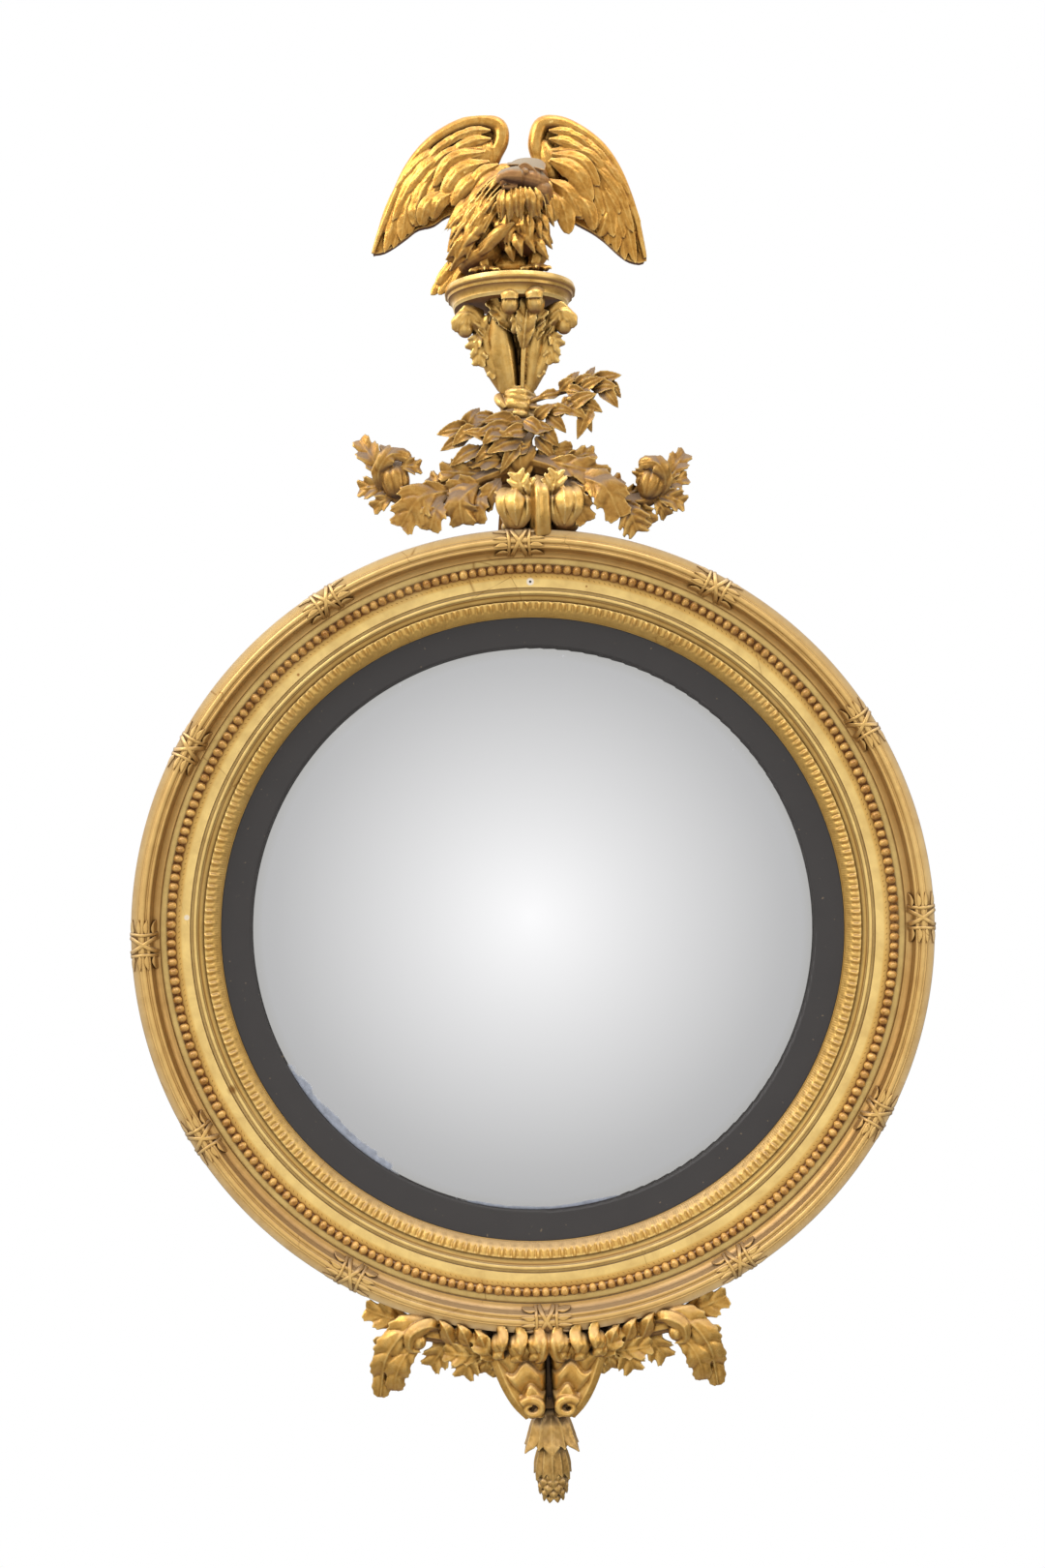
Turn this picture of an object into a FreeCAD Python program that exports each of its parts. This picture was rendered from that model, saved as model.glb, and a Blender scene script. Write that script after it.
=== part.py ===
import FreeCAD, Part
import math
import os

# A convex giltwood wall mirror with an eagle crest and a leafy apron.
# Millimetres. X runs across, +Z is up, and the mirror looks towards -Y.
# The wall is the plane y = 0, and the origin is the middle of the round frame, on the wall.

V = FreeCAD.Vector

# ---------------------------------------------------------------- driving dimensions
glass_radius = 270.0
glass_curve = 850.0           # radius of the ball that the glass is cut from
glass_thickness = 4.0
glass_edge_depth = 20.0       # front corner of the glass edge, off the wall

slip_overlap = 11.5           # the slip covers this much of the glass
slip_face_drop = 4.0          # the slip's face falls this much to the glass
slip_nose = 3.0
slip_clearance = 0.3
lip_gap = 16.0                # from the glass's edge out to the opening of the gilt frame
lip_ledge = 4.0               # the lip overhangs the slip's flange by this much
lip_thickness = 3.5
block_count = 12
block_angle = 6.0
block_tongue = 14.0           # how far a block reaches in behind the glass

# The bands of the frame, from the lip outward.
leaf_tip_width = 20.06        # carved moulding next to the black slip
leaf_tip_bulge = 4.2
roll_width = 3.4
roll_rise = 3.0
groove_width = 2.6
groove_depth = 2.0
fascia_width = 14.5
fascia_rise = 1.5             # above the pearls' channel
fascia_fall = 1.0
strip_width = 4.5             # small strip inside the pearls
strip_rise = 3.4
channel_width = 8.4           # channel that the pearls stand in
channel_drop = 3.0
hollow_width = 6.5            # cove between the pearls and the reeds
hollow_drop = 11.0
thin_reed_width = 4.4
thin_reed_rise = 2.0
reed_width = 6.6              # each of the outer reeds
reed_rise = 3.2
reed_depth = 57.0             # where the reeds spring, above the wall
reed_overhang = 1.44          # the widest reed bulges this far past its foot
side_step = 4.0               # the plain side stands this far inside the widest reed
side_depth = 28.0             # height of the plain side

pearl_count = 240
pearl_length = 7.0            # across the channel
pearl_width = 6.3             # along the channel
pearl_height = 6.4
pearl_sides = 6

tie_count = 12
tie_span = 46.0               # along the reeds
tie_band = 7.0
tie_thickness = 1.6

board_overlap = 18.0          # the backboard covers this much of the frame's back
board_thickness = 8.0         # the frame's back is this far off the wall
board_gap = 0.4               # joint between two planks

screw_radius = 1.8
screw_head_radius = 4.0
screw_head_height = 2.4
screw_clearance = 0.2
board_screw_count = 8
board_screw_length = 20.0
strap_screw_length = 16.0
hanger_screw_length = 14.0
fixing_hole_radius = 1.2      # small hole at the top of the fascia
fixing_hole_depth = 6.0

hanger_angle = 60.0           # from the top of the frame
hanger_inset = 23.0           # the rings' bars stand this far inside the plain side
hanger_width = 14.0
hanger_length = 38.0
hanger_thickness = 1.5
hanger_screw_drops = (13.0, 31.0)
ring_wire_radius = 1.6
ring_bend_radius = 13.0
ring_play = 0.3

strap_width = 22.0            # iron straps that carry the crest and the apron
strap_thickness = 4.0
strap_edge = 2.0              # straps start this far outside the board
crest_strap_rise = 61.0       # the strap ends this far above the eagle's shelf
apron_strap_tail = 14.0       # the strap ends this far below the scroll brackets
strap_screw_drops = (12.0, 38.0)
core_screw_rise = 30.0        # above the top of the frame
body_screw_rise = 44.0        # above the eagle's shelf
apron_screw_drop = 14.0       # below the top of the scroll brackets

crest_x = 3.0                 # the stalk stands a little right of the middle
boss_x = 12.0
seat_gap = 0.3                # between carvings and the frame's rim

perch_height = 225.0          # top of the eagle's shelf, above the frame
shelf_half_width = 60.0
shelf_straight = 16.0         # straight part of the D, next to the wall
shelf_height = 19.0
capital_height = 78.0         # from the knot up to the shelf
knot_height = 24.0

volute_top = 12.0             # heights of the apron, below the frame
volute_foot = 74.0
eye_radius = 4.0              # hollow eye in the foot of a scroll bracket
eye_depth = 24.0
husk_length = 36.0
lower_husk_length = 30.0
cone_length = 36.0
pendant_out = 32.0            # pendant's axis, off the back of the frame
pin_radius = 2.5

# ---------------------------------------------------------------- sizes that follow
back = board_thickness
slip_sight_radius = glass_radius - slip_overlap
lip_radius = glass_radius + lip_gap
rebate_radius = lip_radius + lip_ledge
board_radius = rebate_radius + board_overlap
roll_end = lip_radius + leaf_tip_width
groove_end = roll_end + roll_width
fascia_end = groove_end + groove_width
strip_end = fascia_end + fascia_width
channel_end = strip_end + strip_width
hollow_end = channel_end + channel_width
thin_reed_end = hollow_end + hollow_width
reed_feet = [thin_reed_end + thin_reed_width + reed_width * k for k in (2, 1, 0)]
frame_radius = reed_feet[0] + reed_overhang
side_radius = frame_radius - side_step
hanger_circle = side_radius - hanger_inset

channel_depth = reed_depth - hollow_drop - channel_drop
fascia_depth = channel_depth + fascia_rise
seat_depth = fascia_depth - fascia_fall - groove_depth
lip_depth = glass_edge_depth + 2 * slip_face_drop
lip_front = lip_depth + lip_thickness

ring_top = frame_radius
ring_foot = -frame_radius
perch = ring_top + perch_height
shelf_foot = perch - shelf_height
neck = shelf_foot - capital_height
knot_foot = neck - knot_height
husk_top = ring_foot - volute_foot
lower_husk_top = husk_top - husk_length * 0.8
cone_top = lower_husk_top - lower_husk_length * 0.55
cone_foot = cone_top - cone_length
reach = 2 * frame_radius + perch_height    # more than anything reaches from the middle


# ---------------------------------------------------------------- helpers
def spot(x, out, z):
    """A point x across, out from the back of the frame, and z up."""
    return V(x, -back - out, z)


def between(a, b, t):
    return a + (b - a) * t


def path_point(points, t):
    """Point on the smooth curve through the given points, t from 0 to 1."""
    spans = len(points) - 1
    place = min(max(t, 0.0), 1.0) * spans
    i = min(int(place), spans - 1)
    s = place - i
    p1, p2 = points[i], points[i + 1]
    p0 = points[i - 1] if i > 0 else p1 * 2 - p2
    p3 = points[i + 2] if i + 2 <= spans else p2 * 2 - p1
    return (p1 * 2 + (p2 - p0) * s + (p0 * 2 - p1 * 5 + p2 * 4 - p3) * s**2
            + (p1 * 3 - p0 - p2 * 3 + p3) * s**3) * 0.5


def facet(a, b, c):
    return Part.Face(Part.makePolygon([a, b, c, a]))


def skin(rings):
    """Closed faceted solid through rings of points. A ring of one point is a tip."""
    faces = []
    for low, high in zip(rings, rings[1:]):
        count = max(len(low), len(high))
        for i in range(count):
            j = (i + 1) % count
            if len(low) > 1:
                faces.append(facet(low[i], low[j], high[j % len(high)]))
            if len(high) > 1:
                faces.append(facet(low[i % len(low)], high[j], high[i]))
    for ring in (rings[0], rings[-1]):
        if len(ring) > 1:
            middle = sum(ring, V()) * (1.0 / len(ring))
            faces += [facet(p, q, middle) for p, q in zip(ring, ring[1:] + ring[:1])]
    shell = Part.makeShell(faces)
    shell.sewShape()
    solid = Part.makeSolid(shell)
    if solid.Volume < 0:
        solid.reverse()
    return solid


def axes(points, t, facing):
    """Centre, side and front directions of a section across a path."""
    here = path_point(points, t)
    along = path_point(points, t + 0.02) - path_point(points, t - 0.02)
    along.normalize()
    side = along.cross(facing)
    side.normalize()
    front = side.cross(along)
    return here, side, front


def leaf_outline(t):
    """Half width of a leaf along its midrib: a narrow foot, a wide belly and a long tip."""
    if t < 0.4:
        return 0.35 + 0.65 * math.sin(math.pi * (1.25 * t) ** 0.9)
    return math.cos(math.pi / 2 * ((t - 0.4) / 0.6) ** 1.6)


def feather_outline(t):
    """Half width of a feather: nearly even, with a round end."""
    if t < 0.75:
        return 0.55 + 0.45 * min(1.0, t / 0.4)
    return math.cos(math.pi / 2 * ((t - 0.75) / 0.25) ** 2)


def laurel_outline(t):
    return math.sin(math.pi * (0.06 + 0.94 * t)) ** 0.8


def blade(points, half_width, thickness, outline=leaf_outline, lobes=0, cup=0.0, stations=6,
          facing=V(0, -1, 0)):
    """A carved leaf or feather: a ridged section along a bent midrib, ending in a tip.

    lobes cuts that many scallops into each edge; cup bends the edges forward."""
    count = 2 * lobes if lobes else stations
    rings = []
    for k in range(count):
        t = k / count
        here, side, front = axes(points, t, facing)
        wide = half_width * outline(t)
        if lobes and k % 2 == 0 and k > 0:
            wide *= 0.58
        thick = thickness * (1.0 - 0.55 * t) / 2
        rise = front * (cup * wide)
        rings.append([here - side * wide + rise, here + front * thick,
                      here + side * wide + rise, here - front * thick])
    rings.append([path_point(points, 1.0)])
    return skin(rings)


def rod(points, radii, sides=6, facing=V(0, -1, 0)):
    """A round stem along a bent path, with a radius at each of its evenly spaced sections."""
    rings = []
    for k, radius in enumerate(radii):
        here, side, front = axes(points, k / (len(radii) - 1), facing)
        if radius == 0:
            rings.append([here])
            continue
        turns = [2 * math.pi * i / sides for i in range(sides)]
        rings.append([here + side * (radius * math.cos(a)) + front * (radius * math.sin(a)) for a in turns])
    return skin(rings)


def lump(centre, wide, deep, high, sides=8, levels=4, lean=0.0):
    """A rounded carved lump. lean moves its top sideways."""
    rings = [[centre + V(-lean * high, 0, -high)]]
    for k in range(1, levels):
        up = math.cos(math.pi * k / levels) * -high
        round_off = math.sin(math.pi * k / levels)
        turns = [2 * math.pi * (i + 0.5) / sides for i in range(sides)]
        rings.append([centre + V(wide * round_off * math.cos(a) + lean * up,
                                 deep * round_off * math.sin(a), up) for a in turns])
    rings.append([centre + V(lean * high, 0, high)])
    return skin(rings)


def stack(levels, sides=12, roundness=1.0):
    """A carved body through level sections, each (x, out, z, half width, half depth)."""
    rings = []
    for x, out, z, wide, deep in levels:
        turns = [2 * math.pi * (i + 0.5) / sides for i in range(sides)]
        rings.append([spot(x + wide * abs(math.cos(a)) ** roundness * math.copysign(1, math.cos(a)),
                           out + deep * math.sin(a), z) for a in turns])
    return skin(rings)


def joined(pieces):
    """One carving out of overlapping forms."""
    return pieces[0].multiFuse(pieces[1:]).removeSplitter()


def largest(shape):
    """The main solid of a trimmed carving, without loose chips."""
    solid = max(shape.Solids, key=lambda s: s.Volume)
    if not solid.isValid():
        solid.fix(0.001, 0.001, 0.01)
    return solid


def less(shape, *others):
    """The carving with the room for its neighbours taken out."""
    return largest(shape.cut(list(others)))


def room_behind():
    """Everything behind the plane of the frame's back."""
    return Part.makeBox(2 * reach, reach, 4 * reach, V(-reach, -back, -2 * reach))


def room_above(z):
    """Everything above a level, in front of the wall."""
    return Part.makeBox(2 * reach, reach, reach, V(-reach, -reach, z))


def room_below(z):
    """Everything below a level, in front of the wall."""
    return Part.makeBox(2 * reach, reach, reach, V(-reach, -reach, z - reach))


def room_of_rim():
    """The space that the frame takes, with the gap that carvings keep from its rim."""
    return Part.makeCylinder(frame_radius + seat_gap, reach, V(0, 0, 0), V(0, -1, 0))


BEHIND = room_behind()
RIM = room_of_rim()


def on_rim(shape, *others):
    """A carving with a flat back that sits on the frame's rim."""
    return less(shape, BEHIND, RIM, *others)


def turned(edges, angle=360.0, start=0.0):
    """Solid turned about the frame's axis from edges drawn as (radius, depth)."""
    face = Part.Face(Part.Wire(edges))
    solid = face.revolve(V(0, 0, 0), V(0, 1, 0), angle)
    if start:
        solid.rotate(V(0, 0, 0), V(0, 1, 0), start)
    return solid


def section(points):
    """Edges of a closed section. A point may carry a rise, for an arc that leads up to it."""
    edges = []
    ring = points + [points[0]]
    for (r0, d0, *_), (r1, d1, *rise) in zip(ring, ring[1:]):
        a, b = V(r0, -d0, 0), V(r1, -d1, 0)
        if rise:
            run = b - a
            bulge = V(-run.y, run.x, 0)
            bulge.normalize()
            edges.append(Part.Arc(a, (a + b) * 0.5 + bulge * rise[0], b).toShape())
        else:
            edges.append(Part.LineSegment(a, b).toShape())
    return edges


def radial_x(radius, angle):
    return radius * math.sin(math.radians(angle))


def radial_z(radius, angle):
    return radius * math.cos(math.radians(angle))


# ---------------------------------------------------------------- the turned frame
def front_profile():
    """The face of the frame from its outer side to the carved moulding's seat."""
    return [
        (side_radius, side_depth),
        (reed_feet[0], reed_depth - 2 * reed_rise, reed_rise),
        (reed_feet[1], reed_depth - 1, reed_rise),
        (reed_feet[2], reed_depth, reed_rise * 0.9),
        (thin_reed_end, reed_depth - 1, thin_reed_rise),
        (hollow_end, reed_depth - hollow_drop, -hollow_drop * 0.2),
        (hollow_end, channel_depth),
        (channel_end, channel_depth),
        (channel_end, channel_depth + strip_rise * 0.6),
        (strip_end, channel_depth + strip_rise * 0.6, strip_rise * 0.5),
        (strip_end, fascia_depth),
        (fascia_end, fascia_depth - fascia_fall),
        (fascia_end, seat_depth),
        (groove_end, seat_depth),
        (roll_end, seat_depth, roll_rise * 0.9),
    ]


def frame_ring():
    points = [(rebate_radius, back), (side_radius - 1, back)] + front_profile()
    points += [(lip_radius, lip_front), (lip_radius, lip_depth), (rebate_radius, lip_depth)]
    ring = turned(section(points))
    holes = [screw_room(*place, board_screw_length) for place in board_screw_places()]
    holes += [screw_room(*place, strap_screw_length) for place in strap_screw_places()]
    holes += [screw_room(*place, hanger_screw_length) for place in hanger_screw_places()]
    hole_circle = (strip_end + fascia_end) / 2
    holes.append(Part.makeCylinder(fixing_hole_radius, fixing_hole_depth + fascia_fall,
                                   V(0, -fascia_depth, hole_circle), V(0, 1, 0)))
    return ring.cut(holes)


def leaf_tip_moulding():
    """Carved moulding that slopes from the roll down to the lip."""
    return turned(section([(lip_radius, lip_front, leaf_tip_bulge), (roll_end, seat_depth)]))


def pearl_row():
    """Pearls that stand in the channel, each a six-sided bead that narrows to the front."""
    circle = (hollow_end + channel_end) / 2
    turns = [2 * math.pi * i / pearl_sides for i in range(pearl_sides)]
    rings = []
    for rise, share in ((0.0, 1.0), (1.0, 0.45)):
        rings.append([V(pearl_width / 2 * share * math.sin(a), -channel_depth - rise * pearl_height,
                        circle + pearl_length / 2 * share * math.cos(a)) for a in turns])
    pearl = skin_flat(rings)
    pearls = []
    for k in range(pearl_count):
        copy = pearl.copy()
        copy.rotate(V(0, 0, 0), V(0, 1, 0), 360.0 * k / pearl_count)
        pearls.append(copy)
    return Part.makeCompound(pearls)


def skin_flat(rings):
    """Faceted solid between two level rings, with whole end faces."""
    low, high = rings
    faces = [Part.Face(Part.makePolygon(ring + ring[:1])) for ring in rings]
    for i in range(len(low)):
        j = (i + 1) % len(low)
        faces.append(Part.Face(Part.makePolygon([low[i], low[j], high[j], high[i], low[i]])))
    shell = Part.makeShell(faces)
    shell.sewShape()
    solid = Part.makeSolid(shell)
    if solid.Volume < 0:
        solid.reverse()
    return solid


def ribbon_ties():
    """Crossed ribbons bound over the reeds, fitted to them underneath."""
    half = math.degrees(tie_span / 2 / frame_radius)
    cover = front_profile()[1:5]
    lifted = [(r, d + tie_thickness) + tuple(rise) for r, d, *rise in cover]
    lifted[0] = (cover[0][0] + tie_thickness * 0.6, cover[0][1] + tie_thickness * 0.4)
    under = [(r, d) for r, d, *_ in cover]
    falls = [0.0] + [-p[2] for p in cover[1:]]
    returns = [under[-1]] + [(*under[k - 1], falls[k]) for k in range(len(cover) - 1, 0, -1)]
    sheath = turned(section(lifted + returns), 2 * half, -half)
    sheath.rotate(V(0, 0, 0), V(0, 1, 0), -90)
    inner, outer = cover[-1][0], frame_radius + tie_thickness
    bars = []
    for lean in (-1, 1):
        a = V(-lean * tie_span / 2, 0, inner)
        b = V(lean * tie_span / 2, 0, outer)
        across = V(tie_band, 0, 0)
        plan = Part.Face(Part.makePolygon([a - across, a + across, b + across, b - across, a - across]))
        bars.append(plan.extrude(V(0, -reach, 0)))
    tie = sheath.common(bars[0].fuse(bars[1]).removeSplitter())
    ties = []
    for k in range(tie_count):
        for solid in tie.Solids:
            copy = solid.copy()
            copy.rotate(V(0, 0, 0), V(0, 1, 0), 360.0 * k / tie_count)
            ties.append(copy)
    return Part.makeCompound(ties)


# ---------------------------------------------------------------- glass and what holds it
glass_centre = glass_edge_depth - math.sqrt(glass_curve**2 - glass_radius**2)


def glass_front(radius):
    """How far off the wall the front of the glass is, at a radius."""
    return glass_centre + math.sqrt(glass_curve**2 - radius**2)


def glass_back(radius):
    inner = glass_curve - glass_thickness
    return glass_centre + math.sqrt(inner**2 - radius**2)


def convex_glass():
    a = V(0, -glass_front(0), 0)
    b = V(glass_radius, -glass_front(glass_radius), 0)
    c = V(glass_radius, -glass_back(glass_radius), 0)
    d = V(0, -glass_back(0), 0)
    half = glass_radius / 2
    edges = [
        Part.Arc(a, V(half, -glass_front(half), 0), b).toShape(),
        Part.LineSegment(b, c).toShape(),
        Part.Arc(c, V(half, -glass_back(half), 0), d).toShape(),
        Part.LineSegment(d, a).toShape(),
    ]
    return turned(edges)


def black_slip():
    """Ebonised slip: a sloping face, a rounded nose on the glass and a flange behind the lip."""
    edge = rebate_radius - slip_clearance
    face_edge = lip_radius - slip_clearance
    seat = glass_front(slip_sight_radius) + slip_clearance
    heel = glass_edge_depth + slip_clearance
    return turned(section([
        (edge, heel), (edge, lip_depth), (face_edge, lip_depth),
        (face_edge, lip_depth + slip_face_drop * 0.6),
        (slip_sight_radius + slip_nose, seat + slip_nose), (slip_sight_radius, seat, slip_nose * 0.3),
        (glass_radius, heel),
    ]))


def glazing_blocks():
    """Glued pine blocks that hold the glass in the frame from behind."""
    inner = glass_radius - block_tongue
    top = glass_edge_depth - slip_clearance
    step = glass_radius + slip_clearance
    under_edge = glass_back(glass_radius) - slip_clearance
    blocks = []
    for k in range(block_count):
        edges = section([
            (inner, back), (rebate_radius, back), (rebate_radius, top), (step, top),
            (step, under_edge), (inner, glass_back(inner) - slip_clearance),
        ])
        blocks.append(turned(edges, block_angle, 360.0 * (k + 0.5) / block_count - block_angle / 2))
    return Part.makeCompound(blocks)


def back_planks():
    """Round backboard of three planks, side by side."""
    disc = Part.makeCylinder(board_radius, board_thickness, V(0, 0, 0), V(0, -1, 0))
    disc = disc.cut([screw_room(*place, board_screw_length) for place in board_screw_places()])
    third = 2 * board_radius / 3
    planks = {}
    for name, left in (("left", -1.5), ("centre", -0.5), ("right", 0.5)):
        width = third - board_gap
        slab = Part.makeBox(width, board_thickness, 2 * board_radius,
                            V(left * third + board_gap / 2, -board_thickness, -board_radius))
        planks["back_plank_" + name] = largest(disc.common(slab))
    return planks


# ---------------------------------------------------------------- screws, straps and hangers
def screw(x, depth, z, length):
    """Countersunk screw driven forward from a face depth off the wall."""
    head = Part.makeCone(screw_head_radius, screw_radius, screw_head_height, V(x, -depth, z), V(0, -1, 0))
    shank = Part.makeCylinder(screw_radius, length - screw_head_height,
                              V(x, -depth - screw_head_height, z), V(0, -1, 0))
    return head.fuse(shank).removeSplitter()


def screw_room(x, depth, z, length):
    """Countersink and hole for a screw, with the screw's clearance round its shank."""
    head = Part.makeCone(screw_head_radius, screw_radius, screw_head_height, V(x, -depth, z), V(0, -1, 0))
    shank = Part.makeCylinder(screw_radius + screw_clearance, length, V(x, -depth, z), V(0, -1, 0))
    return head.fuse(shank)


def board_screw_places():
    circle = (rebate_radius + board_radius) / 2
    turns = [360.0 * (k + 0.5) / board_screw_count for k in range(board_screw_count)]
    return [(radial_x(circle, a), 0.0, radial_z(circle, a)) for a in turns]


def strap_screw_places():
    depth = back - strap_thickness
    heights = [board_radius + strap_edge + drop for drop in strap_screw_drops]
    return [(crest_x, depth, z) for z in heights] + [(0.0, depth, -z) for z in heights]


def hanger_places():
    return {side: (sign * radial_x(hanger_circle, hanger_angle), radial_z(hanger_circle, hanger_angle))
            for side, sign in (("left", -1), ("right", 1))}


def hanger_screw_places():
    depth = back - hanger_thickness
    return [(x, depth, z - drop) for x, z in hanger_places().values() for drop in hanger_screw_drops]


def crest_screw_places():
    """Screws that hold the crest's carvings to the strap."""
    depth = back - strap_thickness
    heights = (ring_top + core_screw_rise, knot_foot + knot_height / 2, shelf_foot + shelf_height / 2,
               perch + body_screw_rise)
    return [(crest_x, depth, z) for z in heights]


def apron_screw_places():
    depth = back - strap_thickness
    return [(0.0, depth, ring_foot - volute_top - apron_screw_drop)]


def strap(x, foot, top, places):
    bar = Part.makeBox(strap_width, strap_thickness, top - foot, V(x - strap_width / 2, -back, foot))
    return bar.cut([screw_room(*place, strap_screw_length) for place in places])


def hanger_strap(x, z):
    """Strap screwed to the frame's back, curled round the ring's bar at its top."""
    eye = ring_wire_radius + ring_play
    curl_radius = eye + hanger_thickness
    half = hanger_width / 2
    axis_y = -back + curl_radius
    leaf = Part.makeBox(hanger_width, hanger_thickness, hanger_length, V(x - half, -back, z - hanger_length))
    curl = Part.makeCylinder(curl_radius, hanger_width, V(x - half, axis_y, z), V(1, 0, 0))
    bore = Part.makeCylinder(eye, hanger_width, V(x - half, axis_y, z), V(1, 0, 0))
    places = [p for p in hanger_screw_places() if abs(p[0] - x) < half]
    holes = [screw_room(*place, hanger_screw_length) for place in places]
    return leaf.fuse(curl).cut([bore] + holes).removeSplitter()


def hanger_ring(x, z):
    """D-shaped wire ring, hanging from its straight bar."""
    axis_y = -back + ring_wire_radius + ring_play + hanger_thickness
    left_end = V(x - ring_bend_radius, axis_y, z)
    bar = Part.makeCylinder(ring_wire_radius, 2 * ring_bend_radius, left_end, V(1, 0, 0))
    wire = Part.Circle(V(x + ring_bend_radius, axis_y, z), V(0, 0, 1), ring_wire_radius).toShape()
    bow = Part.Face(Part.Wire(wire)).revolve(V(x, axis_y, z), V(0, 1, 0), 180)
    corners = [Part.makeSphere(ring_wire_radius, V(x + s * ring_bend_radius, axis_y, z)) for s in (-1, 1)]
    return largest(bar.multiFuse([bow] + corners).removeSplitter())


def screws(places, length):
    return Part.makeCompound([screw(*place, length) for place in places])


# ---------------------------------------------------------------- shelf and eagle
def shelf():
    """D-shaped moulded shelf that the eagle stands on."""
    w, h, foot = shelf_half_width, shelf_height, shelf_foot
    points = [(0, 0), (w * 0.86, 0), (w * 0.88, h * 0.14), (w * 0.95, h * 0.5, -1.2), (w * 0.96, h * 0.62),
              (w * 0.985, h * 0.68), (w, h * 0.84, 0.6), (w * 0.985, h), (0, h)]
    edges = []
    for (r0, z0, *_), (r1, z1, *rise) in zip(points, points[1:] + points[:1]):
        a, b = V(r0, 0, foot + z0), V(r1, 0, foot + z1)
        if rise:
            run = b - a
            bulge = V(run.z, 0, -run.x)
            bulge.normalize()
            edges.append(Part.Arc(a, (a + b) * 0.5 + bulge * rise[0], b).toShape())
        else:
            edges.append(Part.LineSegment(a, b).toShape())
    face = Part.Face(Part.Wire(edges))
    face.translate(V(0, -back - shelf_straight, 0))
    bow = face.revolve(V(0, -back - shelf_straight, 0), V(0, 0, 1), -180)
    side = face.extrude(V(0, shelf_straight, 0))
    other = side.mirror(V(0, 0, 0), V(1, 0, 0))
    return largest(bow.multiFuse([side, other]).removeSplitter())


def eagle_spot(x, out, h):
    """A point on the eagle: across, out from the back, and up from the shelf."""
    return spot(x, out, perch + h)


def eagle_body():
    levels = [(-8, 38, 16, 18, 16), (-8, 41, 30, 32, 28), (-6, 44, 48, 42, 35), (-3, 46, 67, 43, 39),
              (2, 46, 86, 38, 36), (8, 42, 100, 28, 30), (10, 38, 110, 15, 19)]
    return stack([(x, out, perch + h, wide, deep) for x, out, h, wide, deep in levels])


def eagle_head():
    """Bowed head, turned to the left, with a hooked beak."""
    crown = [eagle_spot(22, 62, 88), eagle_spot(20, 82, 84), eagle_spot(10, 98, 74), eagle_spot(0, 104, 66)]
    hook = [eagle_spot(6, 98, 74), eagle_spot(-6, 108, 70), eagle_spot(-10, 107, 58)]
    skull = rod(crown, [15, 23, 22, 15, 0], sides=8)
    beak = rod(hook, [11, 9, 6, 0], sides=6)
    return joined([skull, beak])


def feather_row(arm, arm_from, arm_to, tips, count, lift, width, thickness):
    """A row of feathers that overlap like slates, from the wing's arm to a line of tips."""
    feathers = []
    for k in range(count):
        t = k / (count - 1)
        root = path_point(arm, arm_from + (arm_to - arm_from) * t) + V(0, -lift - 0.8 * k, 0)
        tip = path_point(tips, t) + V(0, -lift * 0.5 - 0.8 * k, 0)
        bow = between(root, tip, 0.55) + V(0, -3, 2)
        feathers.append(blade([root, bow, tip], width, thickness, feather_outline, stations=4))
    return feathers


def eagle_wing(arm, flight_tips, covert_tips):
    """Raised wing: a thick bent arm over two rows of feathers."""
    pieces = [rod(arm, [10, 13, 11, 9, 6, 3.5, 0])]
    pieces += feather_row(arm, 0.95, 0.25, flight_tips, 8, 0, 9.5, 7)
    pieces += feather_row(arm, 0.85, 0.22, covert_tips, 5, 5, 9, 7)
    return joined(pieces)


def eagle_wing_left():
    arm = [eagle_spot(-16, 40, 102), eagle_spot(-11, 42, 136), eagle_spot(-42, 44, 134),
           eagle_spot(-76, 46, 113), eagle_spot(-98, 46, 79), eagle_spot(-123, 42, 30)]
    flight = [eagle_spot(-124, 42, 28), eagle_spot(-104, 43, 33), eagle_spot(-84, 42, 45),
              eagle_spot(-48, 38, 62)]
    coverts = [eagle_spot(-98, 48, 62), eagle_spot(-74, 48, 68), eagle_spot(-44, 46, 84)]
    return eagle_wing(arm, flight, coverts)


def eagle_wing_right():
    arm = [eagle_spot(34, 40, 100), eagle_spot(36, 42, 132), eagle_spot(62, 44, 128),
           eagle_spot(92, 46, 106), eagle_spot(110, 46, 67), eagle_spot(124, 42, 16)]
    flight = [eagle_spot(125, 42, 13), eagle_spot(106, 43, 18), eagle_spot(82, 42, 36),
              eagle_spot(52, 38, 40)]
    coverts = [eagle_spot(106, 48, 52), eagle_spot(84, 48, 56), eagle_spot(60, 46, 70)]
    return eagle_wing(arm, flight, coverts)


def eagle_tail():
    """Tail feathers that hang past the left end of the shelf."""
    feathers = []
    for tip_x, tip_h in ((-74, -7), (-67, -4), (-64, 5)):
        root = eagle_spot(-34, 18, 36)
        tip = eagle_spot(tip_x, 24, tip_h)
        bow = between(root, tip, 0.5) + V(0, -2, 4)
        feathers.append(blade([root, bow, tip], 8, 9, feather_outline, stations=4))
    return joined(feathers)


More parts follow.
